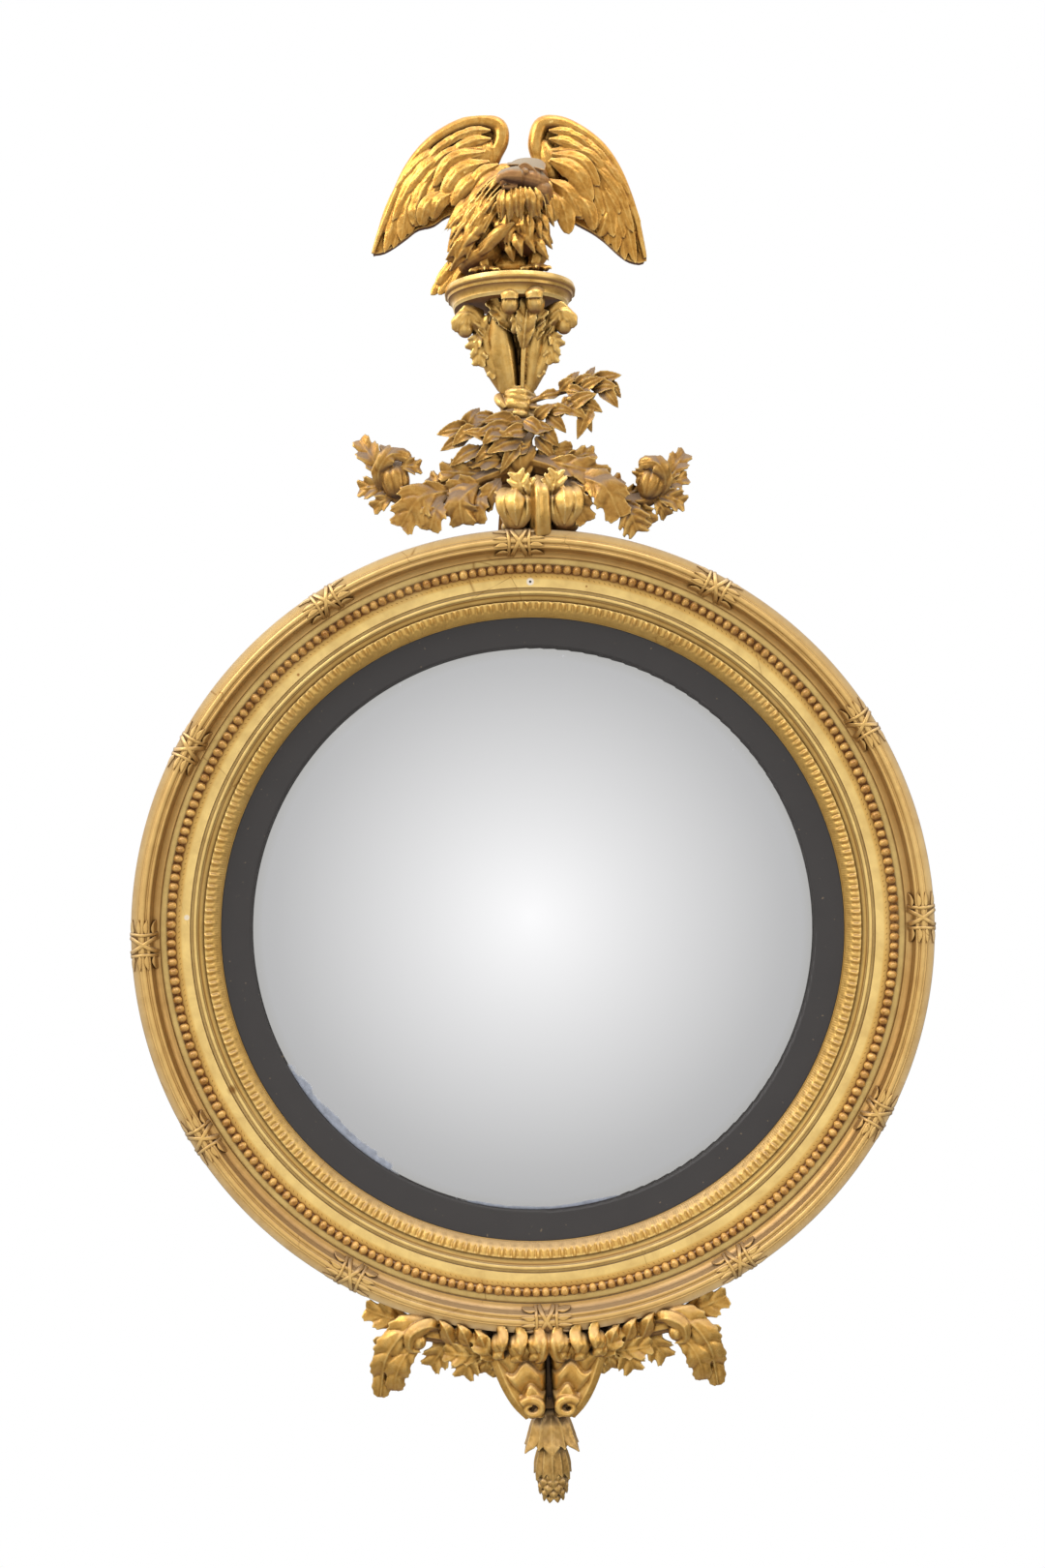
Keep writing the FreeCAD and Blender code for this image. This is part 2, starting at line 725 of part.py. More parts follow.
def eagle_leg(x, out):
    """Feathered thigh, shank and four claws on the shelf."""
    drop = [eagle_spot(x * 0.8 - 6, out - 8, 50), eagle_spot(x * 1.1, out - 4, 30), eagle_spot(x, out, 9)]
    thigh = rod(drop, [14, 18, 17, 11, 5], sides=8)
    foot = stack([(x, out, perch, 6, 6), (x, out, perch + 6, 5, 5), (x, out, perch + 12, 4, 4)], sides=8)
    claws = []
    for turn in (-50, -10, 30, 180):
        reach = 19 if turn != 180 else 12
        tip_x = x + reach * math.sin(math.radians(turn))
        tip_out = out + reach * math.cos(math.radians(turn))
        root = eagle_spot(x, out, 5)
        tip = eagle_spot(tip_x, tip_out, 1.5)
        knuckle = between(root, tip, 0.6) + V(0, 0, 3)
        claws.append(rod([root, knuckle, tip], [4.2, 3.6, 0.8], facing=V(0, 0, 1)))
    return less(joined([thigh, foot] + claws), room_below(perch))


# ---------------------------------------------------------------- capital under the shelf
def capital_stalk():
    """Two fluted stems that rise out of the knot and spread under the shelf."""
    rings = []
    levels = [(neck, 16, 13.5), (neck + 10, 17, 13.5), (neck + 32, 21, 17), (neck + 54, 27, 23),
              (neck + 69, 31, 26), (shelf_foot, 32, 22)]
    for z, out, radius in levels:
        ring = []
        for i in range(16):
            a = 2 * math.pi * i / 16
            flute = radius * (0.86 if i % 4 == 0 else 1.0)
            ring.append(spot(crest_x + flute * math.cos(a), out + flute * 0.9 * math.sin(a), z))
        rings.append(ring)
    return less(skin(rings), BEHIND)


def ball_leaf(side):
    """Front leaf that rolls over into a ball tip under the shelf."""
    x = crest_x + 2 + side * 11
    stem = rod([spot(x - side * 6, 30, neck + 26), spot(x - side * 2, 44, neck + 50), spot(x, 56, neck + 66)],
               [5, 8, 9], sides=8)
    ball = lump(spot(x, 62, shelf_foot - 12), 9.5, 9, 11.6)
    return joined([stem, ball])


def curl_leaf():
    """Left leaf of the capital: it curls outward, and has a lobe below."""
    x = crest_x
    stem = blade([spot(x - 10, 24, neck + 14), spot(x - 22, 30, neck + 40),
                  spot(x - 40, 32, neck + 70), spot(x - 42, 33, neck + 76)], 11, 9, lobes=3)
    curl = lump(spot(x - 44, 34, neck + 56), 10, 9, 11)
    bridge = blade([spot(x - 28, 32, neck + 62), spot(x - 46, 34, neck + 62),
                    spot(x - 52, 34, neck + 50)], 9, 9)
    lobe = blade([spot(x - 16, 26, neck + 40), spot(x - 30, 28, neck + 38),
                  spot(x - 33, 28, neck + 24)], 8, 8)
    return joined([stem, curl, bridge, lobe])


def knot():
    """Tied knot at the foot of the stalk, with its band."""
    ball = lump(spot(crest_x, 15, knot_foot + knot_height / 2 - 2), 15.5, 17, knot_height / 2 + 1, sides=10)
    wrap = [spot(crest_x - 14, 18, neck - 5), spot(crest_x, 31, neck - 2), spot(crest_x + 15, 18, neck - 4)]
    band = rod(wrap, [4, 5, 4])
    return less(joined([ball, band]), room_above(neck), BEHIND)


# ---------------------------------------------------------------- laurel and acanthus of the crest
def crest_core():
    """Rough wooden core behind the foliage, from the frame's rim up to the knot."""
    levels = [(8, 8, -8, 30, 12), (8, 8, 12, 28, 14), (6, 9, 42, 22, 15), (crest_x, 10, 70, 14, 13),
              (crest_x, 10, knot_foot - ring_top + 1, 11, 11)]
    core = stack([(x, out, ring_top + h, wide, deep) for x, out, h, wide, deep in levels], sides=8)
    return on_rim(core)


def laurel(stem, leaves, radius=3.2):
    """Laurel spray: a stem with pointed leaves, each (place on the stem, dx, dout, dh)."""
    pieces = [rod(stem, [radius, radius, radius * 0.8, radius * 0.5], sides=5)]
    for t, dx, dout, dh in leaves:
        root = path_point(stem, t)
        tip = root + V(dx, -dout, dh)
        bow = between(root, tip, 0.5) + V(0, -3, 1.5)
        pieces.append(blade([root, bow, tip], 6.5, 4, laurel_outline, stations=4))
    return joined(pieces)


def laurel_left():
    foot = knot_foot
    stem = [spot(crest_x - 2, 26, foot - 2), spot(-22, 32, foot - 12), spot(-44, 36, foot - 24),
            spot(-58, 34, foot - 32)]
    leaves = [(0.25, -16, 4, 22), (0.4, -30, 8, -8), (0.55, -16, 2, -26), (0.65, -24, 4, 14),
              (0.8, -18, 6, -16), (0.95, -14, 0, 6), (0.2, -4, 12, -24), (0.1, 20, 8, -18)]
    return laurel(stem, leaves)


def laurel_right():
    foot = knot_foot
    stem = [spot(crest_x, 14, foot + 3), spot(38, 34, foot - 6), spot(62, 38, foot + 6),
            spot(84, 38, foot + 22)]
    leaves = [(0.2, 12, 8, -20), (0.35, -6, 8, 16), (0.45, 24, 6, 12), (0.5, 18, 4, -22), (0.65, 24, 6, -16),
              (0.7, -8, 4, 18), (0.85, 22, 4, -10), (0.9, -4, 6, 14), (0.97, 18, 0, 8), (0.3, 24, 12, -6)]
    return laurel(stem, leaves)


def acanthus_arm(core, leaves, curl):
    """Branch of acanthus: a bent core, lobed leaves along it and a leaf rolled into a bulb."""
    pieces = [rod(core, [8, 9, 8, 6, 3], sides=6)]
    pieces += [blade(points, width, 9, lobes=4, cup=cup) for points, width, cup in leaves]
    centre, wide, high = curl
    pieces.append(lump(centre, wide, 11, high))
    return joined(pieces)


def acanthus_left():
    t = ring_top
    core = [spot(-2, 14, t + 42), spot(-44, 28, t + 36), spot(-88, 34, t + 32), spot(-122, 38, t + 50)]
    leaves = [
        ([spot(-106, 36, t + 34), spot(-128, 40, t + 52), spot(-141, 34, t + 82)], 13, 0.2),
        ([spot(-110, 36, t + 46), spot(-128, 42, t + 40), spot(-130, 40, t + 26)], 10, 0.2),
        ([spot(-76, 34, t + 36), spot(-92, 44, t + 26), spot(-94, 46, t + 5)], 20, -0.2),
        ([spot(-40, 30, t + 40), spot(-46, 42, t + 28), spot(-44, 44, t + 6)], 17, -0.2),
        ([spot(-30, 26, t + 40), spot(-52, 30, t + 50), spot(-68, 28, t + 54)], 12, 0.1),
        ([spot(-70, 32, t + 34), spot(-78, 34, t + 44), spot(-84, 32, t + 52)], 8, 0.0),
    ]
    return acanthus_arm(core, leaves, (spot(-113, 46, t + 52), 13, 17))


def acanthus_right():
    t = ring_top
    core = [spot(14, 14, t + 42), spot(60, 28, t + 38), spot(98, 34, t + 28), spot(132, 38, t + 34)]
    leaves = [
        ([spot(116, 36, t + 26), spot(142, 40, t + 40), spot(153, 34, t + 60)], 14, 0.2),
        ([spot(122, 36, t + 34), spot(140, 42, t + 26), spot(142, 40, t + 12)], 12, 0.2),
        ([spot(92, 34, t + 34), spot(104, 44, t + 18), spot(108, 46, t - 4)], 17, -0.2),
        ([spot(58, 30, t + 42), spot(70, 44, t + 28), spot(78, 46, t + 2)], 21, -0.2),
        ([spot(34, 26, t + 48), spot(60, 32, t + 56), spot(84, 30, t + 60)], 13, 0.1),
        ([spot(88, 32, t + 34), spot(98, 34, t + 42), spot(106, 32, t + 50)], 8, 0.0),
    ]
    return acanthus_arm(core, leaves, (spot(126, 46, t + 48), 12, 14))


def boss_scroll(side):
    """One of the pair of rolled leaves over the top of the frame."""
    x = boss_x + side * 21
    t = ring_top
    roll = lump(spot(x, 46, t + 16), 15, 14, 17)
    leaf = blade([spot(boss_x + side * 5, 44, t + 2), spot(boss_x + side * 10, 54, t + 26),
                  spot(boss_x + side * 12, 48, t + 42)], 8, 8, lobes=3)
    return joined([roll, leaf])


def boss_stem():
    """Ribbed stem between the two rolled leaves."""
    t = ring_top
    path = [spot(boss_x, 44, t - 4), spot(boss_x, 52, t + 16), spot(boss_x, 42, t + 38)]
    return rod(path, [7, 6, 5, 3], sides=8)


# ---------------------------------------------------------------- apron
def apron_core():
    """Rough wooden block behind the scrolls, glued under the frame."""
    f = ring_foot
    levels = [(0, 18, f - volute_foot + 4, 10, 20), (0, 14, f - 50, 26, 18), (0, 12, f - 24, 42, 18),
              (0, 12, f + 10, 44, 18)]
    return on_rim(stack(levels, sides=8))


def apron_rolls():
    """Row of rolled leaf ends across the top of the apron."""
    f = ring_foot
    pieces = [rod([spot(-46, 38, f - 4), spot(0, 46, f - 6), spot(46, 38, f - 4)], [6, 8, 8, 6], sides=6)]
    for x, wide, high in ((-36, 8, 10), (-22, 8, 10), (-8, 7, 9), (6, 7, 9), (20, 8, 10), (34, 8, 10)):
        pieces.append(lump(spot(x + 1, 52, f - 4), wide, 9, high))
    return joined(pieces)


def apron_volute(side):
    """Scroll bracket: folds that step down to a rolled foot with a hollow eye."""
    f = ring_foot
    levels = []
    folds = ((12, 25, 23, 58), (18, 25, 19, 50), (26, 25, 21, 58), (34, 24, 17, 47), (42, 24, 19, 54),
             (51, 22, 14, 42), (58, 21, 16, 46), (67, 19, 13, 40), (volute_foot, 17, 8, 34))
    for drop, x, wide, out in folds:
        levels.append((side * (x + 1), out / 2, f - drop, wide, out / 2))
    levels.reverse()
    body = stack(levels, sides=10)
    eye = Part.makeCylinder(eye_radius, eye_depth, spot(side * 21, 52, f - 60), V(0, 1, 0))
    return body.cut(eye)


def apron_acanthus(side, spread):
    """Acanthus of the apron: an arching leaf, a leaf up the rim and hanging lobes."""
    f = ring_foot
    s = side
    leaves = [
        ([spot(s * 44, 28, f - 26), spot(s * 92, 36, f + 2), spot(s * 134, 40, f - 2),
          spot(s * (152 + spread), 40, f - 36), spot(s * (155 + spread), 34, f - 66)], 17, 0.25),
        ([spot(s * 112, 24, f + 6), spot(s * 136, 26, f + 14), spot(s * 166, 24, f + 21)], 16, 0.1),
        ([spot(s * 96, 26, f - 2), spot(s * 104, 30, f - 22), spot(s * 112, 26, f - 36)], 14, 0.1),
        ([spot(s * 72, 26, f - 10), spot(s * 78, 32, f - 30), spot(s * 86, 28, f - 44)], 14, 0.1),
        ([spot(s * 128, 30, f + 2), spot(s * 134, 34, f - 20), spot(s * 140, 30, f - 40)], 12, 0.1),
        ([spot(s * 30, 26, f - 40), spot(s * 54, 34, f - 24), spot(s * 62, 36, f - 2)], 13, 0.2),
    ]
    pieces = [blade(points, width, 10, lobes=4, cup=cup) for points, width, cup in leaves]
    branch = [spot(s * 36, 16, f - 30), spot(s * 76, 20, f - 8), spot(s * 124, 24, f - 2)]
    pieces.append(rod(branch, [12, 12, 9, 5]))
    pieces.append(lump(spot(s * 128, 44, f - 8), 11, 9, 12))
    return joined(pieces)


def husk(top, length, root_radius, tip_radius, count, width, turn):
    """Row of pointed husk leaves hanging round the pendant's pin."""
    petals = []
    for k in range(count):
        a = 2 * math.pi * (k + turn) / count
        away = V(math.cos(a), math.sin(a), 0)
        hub = spot(0, pendant_out, top)
        root = hub + away * (root_radius * 0.5)
        belly = hub + away * (tip_radius * 0.9) + V(0, 0, -length * 0.4)
        tip = hub + away * tip_radius + V(0, 0, -length)
        petals.append(blade([root, belly, tip], width, 5, laurel_outline, stations=5, facing=away))
    hub_body = stack([(0, pendant_out, top - length * 0.62, root_radius * 0.95, root_radius * 0.95),
                      (0, pendant_out, top - length * 0.3, root_radius * 1.2, root_radius * 1.2),
                      (0, pendant_out, top, root_radius * 1.1, root_radius * 1.1)], sides=8)
    return joined([hub_body] + petals)


def pine_cone():
    """Closed cone that ends the pendant."""
    levels = [(0.0, 1), (0.12, 9), (0.35, 15), (0.6, 17), (0.82, 14), (1.0, 9)]
    return stack([(0, pendant_out, cone_foot + cone_length * t, r, r) for t, r in levels], sides=10)


def pendant_pin():
    foot = cone_foot + cone_length * 0.4
    return Part.makeCylinder(pin_radius, husk_top + 14 - foot, spot(0, pendant_out, foot), V(0, 0, 1))


# ---------------------------------------------------------------- assembly
def crest_parts(strap_screws):
    """The crest, each piece cut to fit the ones set before it."""
    parts = {}
    core = crest_core()
    knotted = less(knot(), core)
    stalk = capital_stalk()
    board = shelf()
    parts["crest_core"] = core
    parts["boss_stem"] = on_rim(boss_stem(), core)
    parts["boss_scroll_left"] = on_rim(boss_scroll(-1), core, parts["boss_stem"])
    parts["boss_scroll_right"] = on_rim(boss_scroll(1), core, parts["boss_stem"])
    bosses = [parts["boss_stem"], parts["boss_scroll_left"], parts["boss_scroll_right"]]
    parts["acanthus_left"] = on_rim(acanthus_left(), core, *bosses)
    parts["acanthus_right"] = on_rim(acanthus_right(), core, *bosses)
    arms = [parts["acanthus_left"], parts["acanthus_right"]]
    parts["laurel_left"] = on_rim(laurel_left(), core, knotted, *bosses, *arms)
    parts["laurel_right"] = on_rim(laurel_right(), core, knotted, parts["laurel_left"], *bosses, *arms)
    parts["crest_knot"] = knotted
    parts["capital_stalk"] = stalk
    above = room_above(shelf_foot)
    parts["ball_leaf_left"] = less(ball_leaf(-1), above, stalk)
    parts["ball_leaf_right"] = less(ball_leaf(1), above, stalk, parts["ball_leaf_left"])
    balls = [parts["ball_leaf_left"], parts["ball_leaf_right"]]
    parts["curl_leaf_left"] = less(curl_leaf(), above, stalk, BEHIND, *balls)
    facing_leaf = curl_leaf().mirror(V(crest_x, 0, 0), V(1, 0, 0))
    parts["curl_leaf_right"] = less(facing_leaf, above, stalk, BEHIND, *balls)
    parts["eagle_shelf"] = board
    body = less(eagle_body(), BEHIND)
    parts["eagle_body"] = body
    parts["eagle_head"] = less(eagle_head(), body)
    parts["eagle_wing_left"] = less(eagle_wing_left(), body, BEHIND)
    parts["eagle_wing_right"] = less(eagle_wing_right(), body, BEHIND)
    parts["eagle_leg_left"] = less(eagle_leg(-24, 46), body)
    parts["eagle_leg_right"] = less(eagle_leg(24, 46), body, parts["eagle_leg_left"])
    left_side = [parts["eagle_wing_left"], parts["eagle_leg_left"]]
    parts["eagle_tail"] = less(eagle_tail(), body, board, BEHIND, *left_side)
    rooms = [screw_room(*place, strap_screw_length) for place in strap_screws]
    for name in ("crest_core", "crest_knot", "eagle_shelf", "eagle_body", "capital_stalk"):
        parts[name] = largest(parts[name].cut(rooms))
    return parts


def apron_parts(strap_screws):
    """The apron, each piece cut to fit the ones set before it."""
    parts = {}
    core = apron_core()
    pin = pendant_pin()
    parts["pendant_pin"] = pin
    parts["apron_volute_left"] = less(apron_volute(-1), core, BEHIND, pin)
    parts["apron_volute_right"] = less(apron_volute(1), core, BEHIND, pin, parts["apron_volute_left"])
    volutes = [parts["apron_volute_left"], parts["apron_volute_right"]]
    parts["apron_rolls"] = on_rim(apron_rolls(), core, *volutes)
    for name, side, spread in (("apron_acanthus_left", -1, 4), ("apron_acanthus_right", 1, 0)):
        parts[name] = on_rim(apron_acanthus(side, spread), core, parts["apron_rolls"], *volutes)
    rooms = [screw_room(*place, strap_screw_length) for place in strap_screws]
    parts["apron_core"] = less(core, pin, *rooms)
    cone = less(pine_cone(), pin)
    lower = less(husk(lower_husk_top, lower_husk_length, 11, 19, 6, 9, 0.5), pin, cone)
    upper = less(husk(husk_top, husk_length, 13, 29, 7, 11, 0.25), pin, lower, *volutes)
    parts["husk_upper"] = upper
    parts["husk_lower"] = lower
    parts["pine_cone"] = cone
    return parts


def build():
    crest_screws = crest_screw_places()
    apron_screws = apron_screw_places()
    frame_screws = strap_screw_places()
    start = board_radius + strap_edge
    parts = {
        "frame_ring": frame_ring(),
        "leaf_tip_moulding": leaf_tip_moulding(),
        "pearl_row": pearl_row(),
        "ribbon_ties": ribbon_ties(),
        "black_slip": black_slip(),
        "convex_glass": convex_glass(),
        "glazing_blocks": glazing_blocks(),
        "board_screws": screws(board_screw_places(), board_screw_length),
        "strap_screws": screws(frame_screws + crest_screws + apron_screws, strap_screw_length),
        "hanger_screws": screws(hanger_screw_places(), hanger_screw_length),
        "crest_strap": strap(crest_x, start, perch + crest_strap_rise, frame_screws[:2] + crest_screws),
        "apron_strap": strap(0.0, husk_top - apron_strap_tail, -start, frame_screws[2:] + apron_screws),
    }
    parts.update(back_planks())
    for side, (x, z) in hanger_places().items():
        parts["hanger_strap_" + side] = hanger_strap(x, z)
        parts["hanger_ring_" + side] = hanger_ring(x, z)
    parts.update(crest_parts(crest_screws))
    parts.update(apron_parts(apron_screws))
    return parts


def save(parts):
    os.makedirs("parts", exist_ok=True)
    for name, shape in parts.items():
        shape.exportStep("parts/" + name + ".step")


save(build())
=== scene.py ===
import math

import bpy
import numpy as np
from mathutils import Matrix, Vector
from mathutils.bvhtree import BVHTree


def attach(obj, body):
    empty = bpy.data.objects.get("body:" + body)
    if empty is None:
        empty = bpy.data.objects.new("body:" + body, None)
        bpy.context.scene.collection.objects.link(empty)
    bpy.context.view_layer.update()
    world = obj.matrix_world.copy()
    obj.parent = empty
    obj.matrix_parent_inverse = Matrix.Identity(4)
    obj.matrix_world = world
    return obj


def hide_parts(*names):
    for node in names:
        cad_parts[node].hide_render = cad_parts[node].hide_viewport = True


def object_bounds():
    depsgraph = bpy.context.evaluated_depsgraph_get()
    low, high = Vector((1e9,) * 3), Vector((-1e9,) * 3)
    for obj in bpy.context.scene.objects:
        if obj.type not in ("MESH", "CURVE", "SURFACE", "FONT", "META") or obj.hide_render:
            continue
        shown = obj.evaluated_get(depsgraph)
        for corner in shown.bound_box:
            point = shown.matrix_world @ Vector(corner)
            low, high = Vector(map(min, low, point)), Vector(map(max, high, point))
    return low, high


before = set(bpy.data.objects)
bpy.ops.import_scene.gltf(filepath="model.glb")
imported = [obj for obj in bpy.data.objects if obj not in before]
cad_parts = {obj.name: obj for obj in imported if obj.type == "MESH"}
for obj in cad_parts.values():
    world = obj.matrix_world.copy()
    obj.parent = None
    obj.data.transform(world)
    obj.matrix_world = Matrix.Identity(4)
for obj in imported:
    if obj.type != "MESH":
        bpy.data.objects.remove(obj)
cad_low, cad_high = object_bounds()

MM = 0.001
FRONT = np.array([0.0, -1.0, 0.0])
BODY = "mirror"
REED_MIDDLE = 352.0       # radii of the reeds on the ring, in millimetres
REED_SPAN = (339.4, 365.4)


# ---------------------------------------------------------------- paths
def at(x, depth, z):
    """A point in millimetres: across, off the wall, and up."""
    return np.array([x, -depth, z], float)


def smooth(points, count):
    """Points evenly spread along a Catmull-Rom curve through the given ones."""
    p = np.array(points, float)
    if len(p) == 2:
        t = np.linspace(0, 1, count)[:, None]
        return p[0] * (1 - t) + p[1] * t
    ends = np.vstack([2 * p[0] - p[1], p, 2 * p[-1] - p[-2]])
    fine = []
    for k in range(len(p) - 1):
        a, b, c, d = ends[k:k + 4]
        for t in np.linspace(0, 1, 12, endpoint=False):
            fine.append(0.5 * (2 * b + (c - a) * t + (2 * a - 5 * b + 4 * c - d) * t ** 2
                               + (3 * b - a - 3 * c + d) * t ** 3))
    fine = np.array(fine + [p[-1]])
    steps = np.concatenate([[0], np.cumsum(np.linalg.norm(np.diff(fine, axis=0), axis=1))])
    want = np.linspace(0, steps[-1], count)
    return np.stack([np.interp(want, steps, fine[:, k]) for k in range(3)], 1)


def frames(path, facing):
    """Side and upper directions at each point of a path."""
    run = np.gradient(path, axis=0)
    run /= np.maximum(np.linalg.norm(run, axis=1)[:, None], 1e-9)
    side = np.cross(np.broadcast_to(facing, run.shape), run)
    side /= np.maximum(np.linalg.norm(side, axis=1)[:, None], 1e-6)
    above = np.cross(run, side)
    return run, side, above


def loft(rings, close_ends=True):
    """Vertices and faces of a closed skin over rings of equal count."""
    rows, count = len(rings), len(rings[0])
    points = [np.asarray(ring) for ring in rings]
    faces = []
    for j in range(rows - 1):
        for k in range(count):
            n = (k + 1) % count
            faces.append((j * count + k, j * count + n, (j + 1) * count + n, (j + 1) * count + k))
    vertices = np.vstack(points)
    if close_ends:
        first, last = len(vertices), len(vertices) + 1
        vertices = np.vstack([vertices, points[0].mean(0), points[-1].mean(0)])
        base = (rows - 1) * count
        for k in range(count):
            n = (k + 1) % count
            faces.append((first, n, k))
            faces.append((last, base + k, base + n))
    return vertices, faces


# ---------------------------------------------------------------- carved forms
def leaf_shape(s):
    return np.sin(np.pi * np.clip(s, 0, 1) ** 0.8) ** 0.8 + 0.12 * (1 - s)


def feather_shape(s):
    past = (np.clip(s, 0.55, 1) - 0.55) ** 2 / 0.2025
    return np.minimum(1, (s + 0.1) * 2.6) * np.sqrt(np.clip(1 - past, 0, 1))


def pointed_shape(s):
    return np.clip(s * 3.2 + 0.25, 0, 1) * np.clip((1 - s) * 1.7, 0, 1) ** 0.75


def petal(points, half, outline=leaf_shape, facing=FRONT, cup=0.2, thick=2.4, rib=0.0, grooves=0.0, rows=22,
          cols=9):
    """A leaf, petal or feather: a bent strip with an outline, hollow or domed across, with a midrib."""
    path = smooth(points, rows)
    _, side, above = frames(path, facing)
    s = np.linspace(0, 1, rows)
    wide = np.maximum(half * outline(s), 0.25)
    u = np.linspace(-1, 1, cols)
    rings = []
    for j in range(rows):
        bow = cup * wide[j] * u ** 2
        crest = rib * np.exp(-(u / 0.16) ** 2) * min(1, 3 * (1 - s[j]))
        vein = grooves * np.cos(2 * np.pi * (s[j] * rows / 4.0 - np.abs(u) * 1.4)) * (1 - u ** 2)
        body = thick * (1 - 0.72 * u ** 4) * (0.35 + 0.65 * min(1, 4 * (1 - s[j])))
        top = path[j] + side[j] * (u * wide[j])[:, None] + above[j] * (bow + crest + vein)[:, None]
        low = top - above[j] * body[:, None]
        rings.append(np.vstack([top, low[::-1]]))
    return loft(rings)


def tube(points, radii, sides=16, flutes=0, flute=0.12, flat=1.0, facing=FRONT, rows=None):
    """A round or fluted stem of changing thickness."""
    rows = rows or 8 * len(points)
    path = smooth(points, rows)
    _, side, above = frames(path, facing)
    radius = np.interp(np.linspace(0, 1, rows), np.linspace(0, 1, len(radii)), radii)
    turn = np.linspace(0, 2 * np.pi, sides, endpoint=False)
    wave = 1 + flute * np.cos(flutes * turn) if flutes else np.ones(sides)
    rings = []
    for j in range(rows):
        r = max(radius[j], 0.2) * wave
        across, lift = (r * np.cos(turn))[:, None], (r * flat * np.sin(turn))[:, None]
        rings.append(path[j] + side[j] * across + above[j] * lift)
    return loft(rings)


def ball(centre, radii, rows=14, sides=20, tilt=0.0, flutes=0, flute=0.05):
    """An ellipsoid, turned in the picture plane by tilt degrees, with grooves from pole to pole if wanted."""
    if flutes:
        sides, rows = 12 * flutes, 24
    polar = np.linspace(0.02, np.pi - 0.02, rows)
    turn = np.linspace(0, 2 * np.pi, sides, endpoint=False)
    wave = 1 - flute * (1 - np.abs(np.sin(0.5 * flutes * turn))) ** 1.5 * 2.2 if flutes else np.ones(sides)
    c, s = math.cos(math.radians(tilt)), math.sin(math.radians(tilt))
    rings = []
    for p in polar:
        ring = np.stack([radii[0] * np.sin(p) * np.cos(turn) * wave,
                         radii[1] * np.sin(p) * np.sin(turn) * wave, np.full(sides, radii[2] * np.cos(p))],
                        1)
        ring = np.stack([ring[:, 0] * c - ring[:, 2] * s, ring[:, 1], ring[:, 0] * s + ring[:, 2] * c], 1)
        rings.append(ring + np.asarray(centre))
    return loft(rings)


def mirrored(forms, about=0.0):
    """The same forms on the other side of a vertical line."""
    turned = []
    for vertices, faces in forms:
        flipped = vertices.copy()
        flipped[:, 0] = 2 * about - flipped[:, 0]
        turned.append((flipped, [tuple(reversed(f)) for f in faces]))
    return turned


def broad_shape(s):
    return np.clip(0.34 + 2.2 * s, 0, 1) * np.sqrt(np.clip(1 - s ** 3.2, 0, 1))


def frond(points, half, lobes=3, notch=0.42, sweep=0.9, cup=0.15, thick=3.4, ridge=2.2, curl=0.0, rib=0.8,
          cols=21):
    """An acanthus leaf: one web, cut into fingers along both edges, with a ridge down each finger."""
    line = smooth(points, 90)
    run, side, above = frames(line, FRONT)
    length = np.linalg.norm(np.diff(line, axis=0), axis=1).sum()
    stations = np.linspace(0, 1, 90)
    u = np.linspace(-1, 1, cols)
    reach = np.abs(u)

    def along(values, t):
        return np.stack([np.interp(t, stations, values[:, k]) for k in range(3)], 1)
    rings = []
    for s in np.linspace(0, 1, 13 * lobes + 6):
        phase = (s * lobes) % 1.0
        finger = math.sin(math.pi * phase) ** 0.6
        teeth = 1 - 0.06 * (1 - math.cos(6 * math.pi * phase))
        wide = max(half * float(broad_shape(s)) * (1 - notch * (1 - finger)) * teeth, 0.3)
        t = s + sweep * reach ** 1.5 * wide / length
        past = np.maximum(t - 1, 0)[:, None] * length
        up = along(above, t)
        height = (cup * wide * reach ** 2 + ridge * (finger - 0.5) * np.minimum(1, reach * 2.2)
                  + rib * np.exp(-(u / 0.1) ** 2) + curl * reach ** 3)
        top = along(line, t) + run[-1] * past + along(side, t) * (u * wide)[:, None] + up * height[:, None]
        low = top - up * (thick * (1 - 0.6 * reach ** 3))[:, None]
        rings.append(np.vstack([top, low[::-1]]))
    return loft(rings)


def leaf(root, tip, half, depth=(40, 46), lobes=3, lift=4.0, bow=(0, 0), **details):
    """A frond from root to tip, both (across, up), its middle lifted forward and pushed sideways by bow."""
    a, b = at(root[0], depth[0], root[1]), at(tip[0], depth[1], tip[1])
    return frond([a, (a + b) / 2 + at(bow[0], lift, bow[1]), b], half, lobes, **details)


def sheet(first, second, depths, thick, rows=26, cols=15):
    """A bent plate between two edges, each a list of (across, up).

    The depths are those of the first edge's start, of the second edge, and of the first edge's far end."""
    falls = np.linspace(depths[0], depths[2], len(first))
    one = smooth([at(x, d, z) for (x, z), d in zip(first, falls)], rows)
    two = smooth([at(x, depths[1], z) for x, z in second], rows)
    u = np.linspace(0, 1, cols)[:, None]
    rings = []
    for a, b in zip(one, two):
        top = a * (1 - u) + b * u
        rings.append(np.vstack([top, (top - at(0, thick, 0))[::-1]]))
    return loft(rings)


def strand(points, radius, rows=14):
    """A hair-like ridge of plumage."""
    return tube(points, [radius * 0.5, radius, radius, radius * 0.35], sides=6, rows=rows)


# ---------------------------------------------------------------- meshes
def joined(forms):
    """One mesh from several closed forms."""
    vertices, faces, start = [], [], 0
    for v, f in forms:
        vertices.append(v)
        faces += [tuple(i + start for i in face) for face in f]
        start += len(v)
    return np.vstack(vertices), faces


def make_mesh(name, vertices, faces):
    mesh = bpy.data.meshes.new(name)
    mesh.from_pydata((np.asarray(vertices) * MM).tolist(), [], faces)
    mesh.update()
    return mesh


